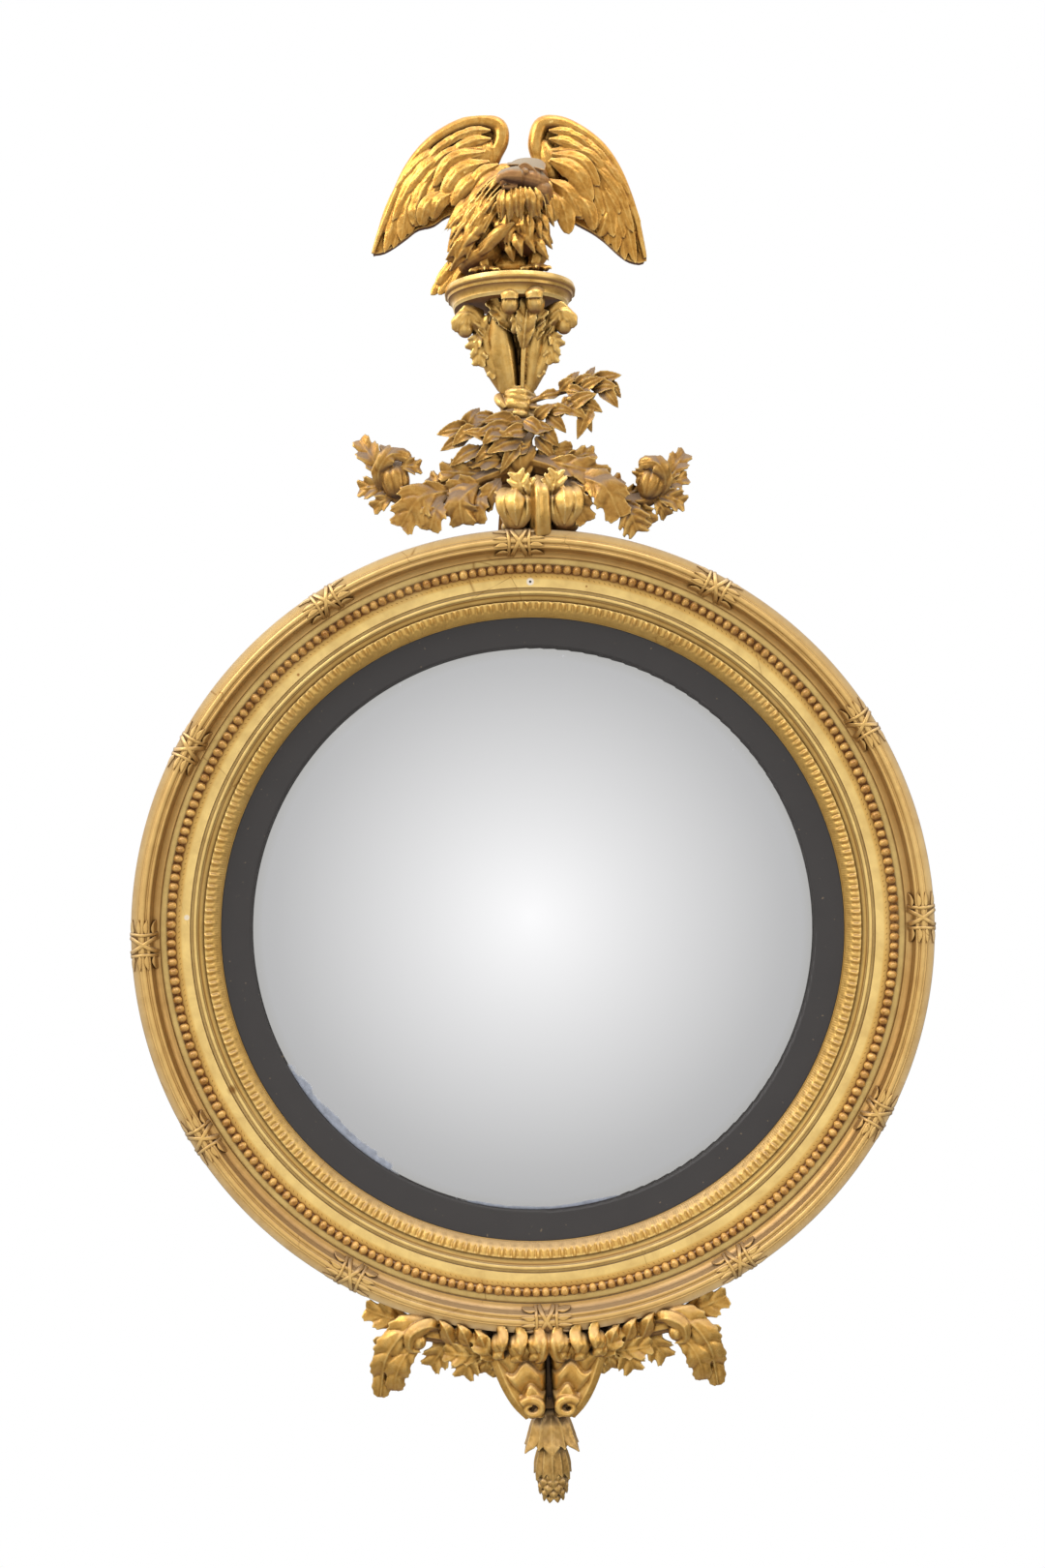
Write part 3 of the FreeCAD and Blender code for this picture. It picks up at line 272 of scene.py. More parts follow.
def add_piece(name, mesh, material, nodes):
    piece = bpy.data.objects.new(name, mesh)
    bpy.context.scene.collection.objects.link(piece)
    mesh.materials.clear()
    mesh.materials.append(material)
    mesh.polygons.foreach_set("use_smooth", [True] * len(mesh.polygons))
    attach(piece, BODY)
    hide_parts(*nodes)
    return piece


def inside_box(points, margin):
    """Points in metres, held inside the frame's own box by a margin in millimetres."""
    return np.clip(points, np.array(cad_low) + margin * MM, np.array(cad_high) - margin * MM)


def solid(name, forms, material):
    """A piece that keeps its forms as modelled and stands for the node of its name."""
    vertices, faces = joined(forms)
    vertices = inside_box(vertices * MM, 0.02) / MM
    return add_piece("carved_" + name, make_mesh("carved_" + name, vertices, faces), material, (name,))


def carve(name, forms, material, grain):
    """Fuses forms into one carved block of wood, softened as gesso softens it, for the node of its name."""
    title = "carved_" + name
    rough = bpy.data.objects.new(title + "_rough", make_mesh(title + "_rough", *joined(forms)))
    bpy.context.scene.collection.objects.link(rough)
    fuse = rough.modifiers.new("fuse", "REMESH")
    fuse.mode = "VOXEL"
    fuse.voxel_size = grain * MM
    soft = rough.modifiers.new("soft", "SMOOTH")
    soft.factor = 0.5
    soft.iterations = 2
    fused = bpy.data.meshes.new_from_object(rough.evaluated_get(bpy.context.evaluated_depsgraph_get()))
    fused.name = title
    bpy.data.objects.remove(rough)
    places = np.zeros(len(fused.vertices) * 3, np.float32)
    fused.vertices.foreach_get("co", places)
    places = inside_box(places.reshape(-1, 3), 0.05)
    fused.vertices.foreach_set("co", places.ravel())
    fused.update()
    return add_piece(title, fused, material, (name,))


# ---------------------------------------------------------------- materials
def new_material(name):
    material = bpy.data.materials.new(name)
    material.use_nodes = True
    tree = material.node_tree
    tree.nodes.clear()
    return material, tree


def put(tree, kind, props=None, **inputs):
    """Adds a node. An input is a value or a socket; its name has underscores for spaces, or is i0, i1."""
    node = tree.nodes.new("ShaderNode" + kind)
    for key, value in (props or {}).items():
        setattr(node, key, value)
    for key, value in inputs.items():
        numbered = key[0] == "i" and key[1:].isdigit()
        socket = node.inputs[int(key[1:]) if numbered else key.replace("_", " ")]
        if isinstance(value, bpy.types.NodeSocket):
            tree.links.new(value, socket)
        else:
            socket.default_value = value
    return node


def colour(red, green, blue):
    """A colour from its 0 to 255 sRGB values."""
    def linear(c):
        c /= 255
        return c / 12.92 if c <= 0.04045 else ((c + 0.055) / 1.055) ** 2.4
    return (linear(red), linear(green), linear(blue), 1.0)


def ramp(tree, factor, stops, interpolation="LINEAR"):
    node = put(tree, "ValToRGB", Fac=factor)
    node.color_ramp.interpolation = interpolation
    elements = node.color_ramp.elements
    while len(elements) < len(stops):
        elements.new(0.5)
    for element, (place, value) in zip(elements, stops):
        element.position = place
        element.color = value if not isinstance(value, (int, float)) else (value, value, value, 1)
    return node.outputs["Color"]


def mix(tree, factor, a, b, blend="MIX"):
    node = put(tree, "Mix", {"data_type": "RGBA", "blend_type": blend})
    for socket, value in ((node.inputs[0], factor), (node.inputs[6], a), (node.inputs[7], b)):
        if isinstance(value, bpy.types.NodeSocket):
            tree.links.new(value, socket)
        else:
            socket.default_value = value
    return node.outputs[2]


def calc(tree, operation, a, b=0.0, clamp=False):
    return put(tree, "Math", {"operation": operation, "use_clamp": clamp}, i0=a, i1=b).outputs[0]


def plus(tree, a, b):
    return calc(tree, "ADD", a, b)


def minus(tree, a, b, clamp=False):
    return calc(tree, "SUBTRACT", a, b, clamp)


def times(tree, a, b):
    return calc(tree, "MULTIPLY", a, b)


def split(tree, vector):
    """The X, Y and Z of a vector."""
    return put(tree, "SeparateXYZ", Vector=vector).outputs


def spread(tree, value, low, high):
    """0 to 1 as a value goes from low to high."""
    return put(tree, "MapRange", {"clamp": True}, Value=value, From_Min=low, From_Max=high).outputs["Result"]


def noise(tree, place, scale, detail=4.0, rough=0.55, distortion=0.0):
    return put(tree, "TexNoise", Vector=place, Scale=scale, Detail=detail, Roughness=rough,
               Distortion=distortion).outputs["Fac"]


def finish_surface(tree, base, rough, metal, bump=None, bump_depth=0.0002, coat=0.0):
    normal = None
    if bump is not None:
        normal = put(tree, "Bump", Strength=0.6, Distance=bump_depth, Height=bump).outputs["Normal"]
    shader = put(tree, "BsdfPrincipled")
    for name, value in (("Base Color", base), ("Roughness", rough), ("Metallic", metal), ("Normal", normal)):
        if isinstance(value, bpy.types.NodeSocket):
            tree.links.new(value, shader.inputs[name])
        elif value is not None:
            shader.inputs[name].default_value = value
    shader.inputs["Coat Weight"].default_value = coat
    out = put(tree, "OutputMaterial")
    tree.links.new(shader.outputs[0], out.inputs["Surface"])
    return shader


def carved_gilt(name, light, middle, dark, dust, dust_share, metal=0.8, rough=0.3, reach=0.016,
                dust_from=0.6):
    """Old gilding on carved wood: painted highlight on the edges, painted shade in brown in the creases,
    hollows and undersides, dusty on top.
    """
    material, tree = new_material(name)
    place = put(tree, "TexCoord").outputs["Object"]
    geometry = put(tree, "NewGeometry")
    broad = noise(tree, place, 45, 3)
    fine = noise(tree, place, 420, 5, 0.65)
    patch = noise(tree, place, 110, 4, 0.6, 0.6)
    # Pointiness tone: painted highlight on convex edges and painted shade in concave creases, varied at
    # random by the patch noise.
    edge = ramp(tree, geometry.outputs["Pointiness"], [(0.42, 0.0), (0.5, 0.42), (0.58, 1.0)])
    tone = plus(tree, edge, times(tree, minus(tree, patch, 0.5), 0.7))
    toned = ramp(tree, tone, [(0.0, colour(*dark)), (0.4, colour(*middle)), (0.9, colour(*light))])
    # Painted shade: the hollows that ambient occlusion finds turn a deep brown.
    shade = put(tree, "AmbientOcclusion", {"samples": 8}, Distance=reach).outputs["AO"]
    hollow = ramp(tree, shade, [(0.2, 0.0), (0.5, 0.45), (0.85, 1.0)])
    deep = mix(tree, hollow, colour(*(c * 0.36 for c in dark)), toned)
    lying = split(tree, geometry.outputs["Normal"])["Z"]
    settled = plus(tree, times(tree, lying, 0.8), times(tree, broad, 0.9))
    dusty = times(tree, ramp(tree, settled, [(dust_from, 0.0), (dust_from + 0.35, 1.0)]), dust_share)
    rubbed = minus(tree, dusty, times(tree, edge, 0.2), clamp=True)
    # Painted shade on the undersides: faces turned down are darker, not metallic and rougher.
    below = minus(tree, times(tree, lying, -1.7), 0.5, clamp=True)
    base = mix(tree, below, mix(tree, rubbed, deep, colour(*dust)), colour(*(c * 0.8 for c in dark)))
    worn = calc(tree, "MAXIMUM", rubbed, below)
    roughness = plus(tree, times(tree, worn, 0.35), plus(tree, times(tree, fine, 0.2), rough - 0.1))
    shown = times(tree, minus(tree, 1.0, rubbed), minus(tree, 1.0, below))
    height = plus(tree, fine, times(tree, patch, 1.6))
    finish_surface(tree, base, roughness, times(tree, shown, metal), height, 0.0003)
    return material


def ring_place(tree):
    """Object coordinates, their X, Y and Z, and the distance from the ring's axis."""
    place = put(tree, "TexCoord").outputs["Object"]
    parts = split(tree, place)
    flat = put(tree, "CombineXYZ", X=parts["X"], Z=parts["Z"])
    radius = put(tree, "VectorMath", {"operation": "LENGTH"}, i0=flat.outputs[0]).outputs["Value"]
    return place, parts, radius


def near(tree, place, x, z, reach, blur):
    """One inside a round spot on the front, falling to nothing at its edge; sizes in millimetres."""
    parts = split(tree, place)
    dx = minus(tree, parts["X"], x * MM)
    dz = minus(tree, parts["Z"], z * MM)
    away = calc(tree, "SQRT", plus(tree, times(tree, dx, dx), times(tree, dz, dz)))
    return put(tree, "MapRange", {"clamp": True, "interpolation_type": "SMOOTHSTEP"}, Value=away,
               From_Min=(reach + blur) * MM, From_Max=(reach - blur) * MM).outputs["Result"]


def frame_gilt():
    """The turned ring's gilding: pale satin on the fascia, browner on the reeds, dark lines of painted shade
    in the quirks and the pearl channel, and painted shade on steep sides and in creases.
    """
    material, tree = new_material("frame_gilt")
    place, _, radius = ring_place(tree)
    normal = split(tree, put(tree, "NewGeometry").outputs["Normal"])
    broad = noise(tree, place, 9, 4, 0.6)
    patch = noise(tree, place, 60, 5, 0.62, 0.4)
    fine = noise(tree, place, 700, 4, 0.6)
    inner, outer = 0.296, 0.366

    def band(r):
        return (r * MM - inner) / (outer - inner)
    pale, gold, brown, dim, edge = (colour(238, 204, 126), colour(226, 182, 98), colour(126, 80, 26),
                                    colour(206, 162, 94), colour(204, 176, 132))
    # Colour by radius; the brown band at the quirk by 304.8 mm and the dark band in the pearl channel from
    # 325.5 to 332.8 mm are painted shade.
    bands = [(297, gold), (301, pale), (303.6, gold), (304.8, brown), (306, pale),
             (313, colour(240, 206, 130)), (319, pale), (320.6, gold), (324.3, colour(206, 162, 84)),
             (325.5, brown), (332.8, colour(78, 42, 10)), (334.5, pale), (338, pale), (339.6, dim),
             (343, dim), (350, colour(222, 180, 106)), (357, colour(226, 186, 116)), (363, edge)]
    tone = ramp(tree, spread(tree, radius, inner, outer), [(band(r), tint) for r, tint in bands])
    mottled = mix(tree, ramp(tree, patch, [(0.35, 0.0), (0.72, 0.55)]), tone,
                  mix(tree, 0.6, tone, colour(158, 112, 52)))
    worn = mix(tree, ramp(tree, broad, [(0.52, 0.0), (0.75, 0.35)]), mottled, colour(238, 206, 138))
    # Painted shade: darker brown on faces turned away from the front and in the creases that ambient
    # occlusion finds.
    side_shade = ramp(tree, calc(tree, "ABSOLUTE", normal["Y"]), [(0.25, 1.0), (0.93, 0.0)])
    shade = put(tree, "AmbientOcclusion", {"samples": 6}, Distance=0.006).outputs["AO"]
    crease = ramp(tree, shade, [(0.35, 1.0), (0.85, 0.0)])
    crease_shade = times(tree, calc(tree, "MAXIMUM", crease, times(tree, side_shade, 0.6)), 0.85)
    base = mix(tree, crease_shade, worn, colour(104, 60, 18))
    crack = put(tree, "TexVoronoi", {"feature": "DISTANCE_TO_EDGE"}, Vector=place,
                Scale=14.0).outputs["Distance"]
    hair = times(tree, ramp(tree, crack, [(0.0, 1.0), (0.006, 0.0)]),
                 ramp(tree, noise(tree, place, 16, 2), [(0.56, 0.0), (0.62, 0.8)]))
    base = mix(tree, hair, base, colour(150, 104, 44))
    # Chips and spots; the near-black spot at 9.0, 317.1 is painted shade in place of the fixing hole.
    chips = [(9.0, 317.1, 3.2, 0.9, (236, 224, 208)), (9.0, 317.1, 1.1, 0.25, (22, 16, 12)),
             (-314.3, 22.9, 2.4, 0.6, (232, 216, 190)), (-278.5, -135.2, 3.6, 2.4, (150, 106, 48)),
             (60.0, 311.0, 0.9, 0.3, (160, 110, 50)), (118.0, -296.0, 1.0, 0.3, (236, 220, 190)),
             (-205.0, 240.0, 1.3, 0.5, (170, 120, 60))]
    for x, z, reach, blur, tint in chips:
        base = mix(tree, near(tree, place, x, z, reach, blur), base, colour(*tint))
    dusty = ramp(tree, normal["Z"], [(0.35, 0.0), (0.95, 0.75)])
    base = mix(tree, dusty, base, colour(158, 134, 104))
    bare = minus(tree, times(tree, normal["Y"], 4.0), 2.0, clamp=True)
    base = mix(tree, bare, base, mix(tree, patch, colour(150, 116, 74), colour(172, 136, 88)))
    roughness = plus(tree, times(tree, patch, 0.2), plus(tree, times(tree, bare, 0.3), 0.27))
    metallic = times(tree, minus(tree, 1.0, calc(tree, "MAXIMUM", dusty, bare)), 0.62)
    height = plus(tree, fine, times(tree, patch, 2.0))
    finish_surface(tree, base, roughness, metallic, height, 0.00012)
    return material


def slip_black():
    """Ebonised wood with a satin polish and a few rubs."""
    material, tree = new_material("slip_black")
    place = put(tree, "TexCoord").outputs["Object"]
    fine = noise(tree, place, 900, 3)
    broad = noise(tree, place, 30, 4, 0.6)
    specks = ramp(tree, noise(tree, place, 260, 2, 0.4), [(0.74, 0.0), (0.78, 0.7)])
    base = mix(tree, broad, colour(42, 38, 37), colour(52, 48, 46))
    base = mix(tree, specks, base, colour(118, 100, 78))
    roughness = plus(tree, times(tree, broad, 0.25), 0.4)
    finish_surface(tree, base, roughness, 0.0, fine, 0.00004)
    return material


def silvered_glass():
    """Old convex mirror: silvering grey and foxed where it has lifted, at the lower left and the foot."""
    material, tree = new_material("silvered_glass")
    place, parts, radius = ring_place(tree)
    blot = noise(tree, place, 34, 6, 0.65, 0.8)
    small = noise(tree, place, 150, 5, 0.7)
    turn = calc(tree, "ARCTAN2", parts["X"], parts["Z"])
    wedge = spread(tree, calc(tree, "ABSOLUTE", minus(tree, turn, -2.33)), 0.36, 0.2)
    below = minus(tree, calc(tree, "ABSOLUTE", turn), 3.05)
    foot = spread(tree, calc(tree, "ABSOLUTE", below), 0.26, 0.14)
    lifted = plus(tree, times(tree, wedge, spread(tree, radius, 0.242, 0.257)),
                  times(tree, foot, spread(tree, radius, 0.2525, 0.2585)))
    lost = ramp(tree, plus(tree, times(tree, lifted, 0.62), times(tree, blot, 0.6)),
                [(0.62, 0.0), (0.7, 1.0)])
    freckle = times(tree, ramp(tree, small, [(0.66, 0.0), (0.7, 1.0)]), spread(tree, radius, 0.245, 0.259))
    bare = calc(tree, "MAXIMUM", lost, times(tree, freckle, 0.8))
    silver = mix(tree, spread(tree, radius, 0.248, 0.2585), colour(243, 243, 244), colour(236, 235, 232))
    stain = mix(tree, small, colour(92, 96, 104), colour(196, 202, 216))
    metallic = minus(tree, 1.0, times(tree, bare, 0.75))
    roughness = plus(tree, times(tree, bare, 0.25), 0.06)
    finish_surface(tree, mix(tree, bare, silver, stain), roughness, metallic)
    return material


def old_pine():
    """Bare pine, its grain upright, gone grey and brown."""
    material, tree = new_material("old_pine")
    place = put(tree, "TexCoord").outputs["Object"]
    stretched = put(tree, "Mapping", Vector=place)
    stretched.inputs["Scale"].default_value = (14, 14, 1.1)
    rings = put(tree, "TexWave", {"wave_type": "BANDS", "bands_direction": "X"}, Vector=stretched.outputs[0],
                Scale=0.9, Distortion=7.0, Detail=4.0).outputs["Fac"]
    fibre = noise(tree, stretched.outputs[0], 22, 4, 0.7)
    broad = noise(tree, place, 6, 3)
    wood = ramp(tree, rings,
                [(0.1, colour(150, 114, 76)), (0.6, colour(166, 128, 86)), (0.95, colour(134, 98, 62))])
    grey = mix(tree, ramp(tree, broad, [(0.35, 0.1), (0.7, 0.65)]), wood, colour(104, 86, 68))
    base = mix(tree, times(tree, fibre, 0.35), grey, colour(74, 52, 34))
    finish_surface(tree, base, plus(tree, times(tree, fibre, 0.2), 0.62), 0.0, fibre, 0.0004)
    return material


def aged_metal(name, bright, dull, rough, spots=0.5):
    """Metal with dull spots; spots is how far they hide the bright colour."""
    material, tree = new_material(name)
    place = put(tree, "TexCoord").outputs["Object"]
    broad = noise(tree, place, 60, 5, 0.65)
    fine = noise(tree, place, 900, 3)
    base = mix(tree, ramp(tree, broad, [(0.4, 0.0), (0.68, spots)]), colour(*bright), colour(*dull))
    finish_surface(tree, base, plus(tree, times(tree, broad, 0.3), rough), 0.85, fine, 0.00008)
    return material


# ---------------------------------------------------------------- frame and fittings
# In each gilt, the first colour is the painted highlight of the edges and the third is the painted shade of
# the creases, hollows and undersides.
FOLIAGE = carved_gilt("foliage_gilt", (240, 198, 116), (182, 132, 62), (88, 54, 22), (122, 100, 80), 0.95,
                       dust_from=0.44)
CREST = carved_gilt("crest_gilt", (250, 216, 140), (220, 172, 90), (128, 80, 26), (176, 148, 114), 0.6)
EAGLE = carved_gilt("eagle_gilt", (250, 208, 122), (198, 142, 62), (98, 52, 14), (156, 124, 88), 0.4,
                    reach=0.009)
EAGLE_HEAD = carved_gilt("eagle_head_gilt", (206, 158, 96), (158, 112, 66), (86, 48, 20), (148, 134, 112),
                         1.0, metal=0.62, rough=0.38)
APRON = carved_gilt("apron_gilt", (250, 212, 130), (212, 160, 78), (104, 60, 18), (172, 142, 106), 0.5)
CONE = carved_gilt("cone_gilt", (232, 194, 122), (188, 146, 80), (86, 52, 18), (160, 136, 104), 0.5)
PEARL = carved_gilt("pearl_gilt", (255, 222, 148), (242, 196, 112), (150, 98, 36), (206, 160, 104), 0.3,
                    metal=0.35, rough=0.26, reach=0.0022)
CORE = carved_gilt("core_gilt", (176, 130, 66), (136, 94, 44), (80, 48, 18), (120, 98, 74), 0.7, metal=0.5,
                   rough=0.45)
FRAME = frame_gilt()
GLASS = silvered_glass()
PINE = old_pine()
IRON = aged_metal("old_iron", (92, 84, 78), (104, 64, 42), 0.45, 0.8)
STEEL = aged_metal("screw_steel", (134, 128, 120), (96, 70, 50), 0.35, 0.7)
BRASS = aged_metal("old_brass", (206, 168, 96), (132, 100, 56), 0.28, 0.6)

FINISHES = [
    (FRAME, "frame_ring leaf_tip_moulding pearl_row ribbon_ties"),
    (slip_black(), "black_slip"),
    (GLASS, "convex_glass"),
    (PINE, "back_plank_left back_plank_centre back_plank_right glazing_blocks"),
    (CORE, "crest_core apron_core"),
    (IRON, "crest_strap apron_strap pendant_pin"),
    (STEEL, "board_screws strap_screws hanger_screws"),
    (BRASS, "hanger_strap_left hanger_strap_right hanger_ring_left hanger_ring_right"),
    (CREST, "capital_stalk ball_leaf_left ball_leaf_right curl_leaf_left curl_leaf_right"),
    (CREST, "eagle_shelf crest_knot boss_scroll_left boss_scroll_right boss_stem"),
    (FOLIAGE, "laurel_left laurel_right acanthus_left acanthus_right"),
    (EAGLE, "eagle_body eagle_wing_left eagle_wing_right eagle_tail eagle_leg_left eagle_leg_right"),
    (EAGLE_HEAD, "eagle_head"),
    (APRON, "apron_rolls apron_volute_left apron_volute_right apron_acanthus_left apron_acanthus_right"),
    (CONE, "husk_upper husk_lower pine_cone")]
for finish, node_names in FINISHES:
    for node_name in node_names.split():
        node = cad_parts[node_name]
        node.data.materials.clear()
        node.data.materials.append(finish)


# ---------------------------------------------------------------- ornament on the ring
def round_ring(radius, angle, depth):
    """A point by its distance from the ring's axis and its angle from the top, clockwise, in radians."""
    return at(radius * math.sin(angle), depth, radius * math.cos(angle))


def ring_profile():
    """How far the turned ring stands off the wall at each radius, measured on the frame itself.

    The depths of the lip behind the glass and of the ring's back are measured from behind."""
    tree = BVHTree.FromObject(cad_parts["frame_ring"], bpy.context.evaluated_depsgraph_get())

    def struck(radius, angle, start_y, way):
        start = Vector((radius * math.sin(angle), start_y, radius * math.cos(angle)))
        return tree.ray_cast(start, Vector((0, way, 0)))[0]
    radii = np.arange(284.0, 365.6, 0.2)
    front_angle, back_angle, missed_depth = 0.13, 0.6, 40.0
    hits = [struck(radius * MM, front_angle, -0.2, 1) for radius in radii]
    depths = [-hit.y / MM if hit else missed_depth for hit in hits]
    lip, back = (struck(radius, back_angle, 0.1, -1).y / -MM for radius in (0.288, 0.350))
    return radii, np.array(depths), lip, back


PROFILE_RADII, PROFILE_DEPTHS, LIP_DEPTH, BACK_DEPTH = ring_profile()


def ring_depth(radius):
    return float(np.interp(radius, PROFILE_RADII, PROFILE_DEPTHS))


def turned_ring(sides=720, rebate=290.0, lip=286.0, rim=365.0, plain=361.0, plain_depth=28.0):
    """The turned frame as one smooth skin round its measured section."""
    keep = (PROFILE_RADII > lip + 0.1) & (PROFILE_RADII < rim)
    radii, depths = PROFILE_RADII[keep][::-1], PROFILE_DEPTHS[keep][::-1]
    bend = np.abs(np.gradient(np.gradient(depths)))
    outline = [(rebate, BACK_DEPTH), (plain - 1, BACK_DEPTH), (plain, plain_depth)]
    outline += [(radii[k], depths[k]) for k in range(len(radii)) if k % 3 == 0 or bend[k] > 0.04]
    outline += [(lip, depths[-1]), (lip, LIP_DEPTH), (rebate, LIP_DEPTH)]
    angles = np.linspace(0, 2 * np.pi, sides + 1)[:-1]
    rings = [np.array([round_ring(r, a, d) for r, d in outline]) for a in angles]
    size, faces = len(outline), []
    for j in range(sides):
        for k in range(size):
            n, m = (k + 1) % size, (j + 1) % sides
            faces.append((j * size + k, j * size + n, m * size + n, m * size + k))
    return np.vstack(rings), faces


def glass_cap(radius=270.0, ball_radius=850.0, edge_depth=20.0, thick=4.0, rings=80, sides=240):
    """The convex plate as one smooth skin."""
    drop = math.sqrt(ball_radius ** 2 - radius ** 2)
    turn = np.linspace(0, 2 * np.pi, sides, endpoint=False)

    def ring(r, behind):
        depth = edge_depth + math.sqrt((ball_radius - behind) ** 2 - r * r) - drop
        return np.stack([r * np.sin(turn), np.full(sides, -depth), r * np.cos(turn)], 1)
    spread = [radius * (k + 0.02) / rings for k in range(rings)]
    front = [ring(r, 0) for r in spread] + [ring(radius, 0)]
    back = [ring(radius, thick)] + [ring(r, thick) for r in reversed(spread)]
    return [loft(front + back)]


def on_ring(bead, radius, angle, depth):
    """A bead moved from the origin to its place on the ring, and turned with it."""
    vertices, faces = bead
    x, y, z = vertices.T
    c, s = math.cos(angle), math.sin(angle)
    return np.stack([x * c + z * s, y, -x * s + z * c], 1) + round_ring(radius, angle, depth), faces


def pearls(count=240, radius=328.7, depth=46.8):
    """Pearls of slightly uneven size in the ring's channel."""
    forms = []
    rng = np.random.default_rng(7)
    for k in range(count):
        swell = 1 + 0.05 * rng.standard_normal()
        bead = ball((0, 0, 0), (3.75 * swell, 4.6, 4.2 * swell), rows=12, sides=16)
        forms.append(on_ring(bead, radius, 2 * math.pi * k / count, depth))
    return forms


def twist_strip(count=420, radius=322.2, sunk=0.85):
    """The fine twisted strip between pearls and fascia: short slanting beads, nearly level with it."""
    bead = ball((0, 0, 0), (0.9, 1.0, 2.6), rows=6, sides=8, tilt=52)
    depth = ring_depth(radius) - sunk
    return [on_ring(bead, radius, 2 * math.pi * k / count, depth) for k in range(count)]


def leaf_tips(count=168, inner=286.2, outer=299.6, columns=14, rows=17):
    """Small carved leaf tips in a ring: a raised tongue in a scooped shell, with a fan of rays below."""
    angles = np.linspace(0, 2 * np.pi, count * columns, endpoint=False)
    v = np.linspace(0, 1, rows)
    low, high, bulge = 31.6, 41.6, 3.0
    rings = []
    for a in angles:
        u = (a * count / (2 * np.pi)) % 1.0 - 0.5
        tongue = 1.7 * math.exp(-(u / 0.13) ** 2) * np.clip((v - 0.28) * 4, 0, 1)
        tongue *= np.clip((1.02 - v) * 6, 0, 1)
        shell = -1.5 * math.exp(-((abs(u) - 0.25) / 0.1) ** 2) * np.clip((v - 0.35) * 5, 0, 1)
        shell *= np.clip((0.98 - v) * 8, 0, 1)
        fan = 0.55 * math.cos(2 * math.pi * u * 5) * np.clip((0.42 - v) * 6, 0, 1) * np.clip(v * 9, 0, 1)
        edge = 0.5 * np.exp(-((v - 0.4 + 0.12 * math.cos(2 * math.pi * u)) / 0.06) ** 2)
        depth = low + (high - low) * v + bulge * np.sin(np.pi * v) + tongue + shell + fan + edge
        depth[0], depth[-1] = low, high
        radius = inner + (outer - inner) * v
        front = [round_ring(r, a, d) for r, d in zip(radius, depth)]
        back_radii = (outer - 0.1, (outer + inner) / 2, inner + 0.1)
        back = [round_ring(r, a, low - 0.4 + (high - low - 1.0) * (r - inner) / (outer - inner))
                for r in back_radii]
        rings.append(np.array(front + back))
    rings.append(rings[0])
    vertices, faces = loft(rings, close_ends=False)
    size = len(rings[0])
    last = (len(rings) - 1) * size
    faces = [tuple(i - last if i >= last else i for i in face) for face in faces]
    return [(vertices[:last], faces)]


def relief(points, half, height, shape, angle, rows=14, cols=7, sink=0.8):
    """A strip laid on the reeds: points are (along, radius, height) in millimetres about the tie's middle."""
    flat = smooth([(p[0], p[1], 0) for p in points], rows)
    run = np.gradient(flat, axis=0)
    run /= np.maximum(np.linalg.norm(run, axis=1)[:, None], 1e-9)
    u = np.linspace(-1, 1, cols)
    dome = height * (1 - u * u) ** 0.5
    rings = []
    for j in range(rows):
        s = j / (rows - 1)
        wide = max(0.15, half * shape(np.array([s]))[0])
        turns = angle + (flat[j, 0] - run[j, 1] * u * wide) / REED_MIDDLE
        radii = np.clip(flat[j, 1] + run[j, 0] * u * wide, *REED_SPAN)
        stand = points[0][2] + (points[-1][2] - points[0][2]) * s
        top = [round_ring(r, a, ring_depth(r) * 0.35 + flat_depth(r) * 0.65 + stand + rise)
               for r, a, rise in zip(radii, turns, dome)]
        low = [round_ring(r, a, ring_depth(r) - sink) for r, a in zip(radii[::-1], turns[::-1])]
        rings.append(np.array(top + low))
    return loft(rings)


def flat_depth(radius):
    """The level of the reeds' crowns about a radius."""
    near_by = np.abs(PROFILE_RADII - radius) < 3.4
    return float(PROFILE_DEPTHS[near_by].max())


def band_shape(s):
    return np.ones_like(s)


def ties(count=12):
    """Crossed ribbons round the reeds, with small leaves springing from each side."""
    forms = []
    for k in range(count):
        angle = 2 * math.pi * k / count
        for sign in (-1, 1):
            crossing = [(-7 * sign, 340, 0.0), (0, 352, 0.4), (7 * sign, 364.5, 0.1)]
            border = [(10 * sign, 340, 0.0), (9 * sign, 352, 0.2), (10 * sign, 364.5, 0.0)]
            forms.append(relief(crossing, 1.9, 1.0, band_shape, angle))
            forms.append(relief(border, 1.6, 1.1, band_shape, angle))
            for root, tip, wide in ((343, 341.8, 1.8), (349, 348.2, 2.2), (355, 355.8, 2.2), (361, 362, 1.8)):
                path = [(10 * sign, root, 0.0), (16 * sign, (root + tip) / 2 + 0.8, 0.4),
                        (23 * sign, tip, 0.0)]
                forms.append(relief(path, wide, 0.9, leaf_shape, angle))
    return forms


# ---------------------------------------------------------------- crest: capital and knot
CREST_X = 3.0


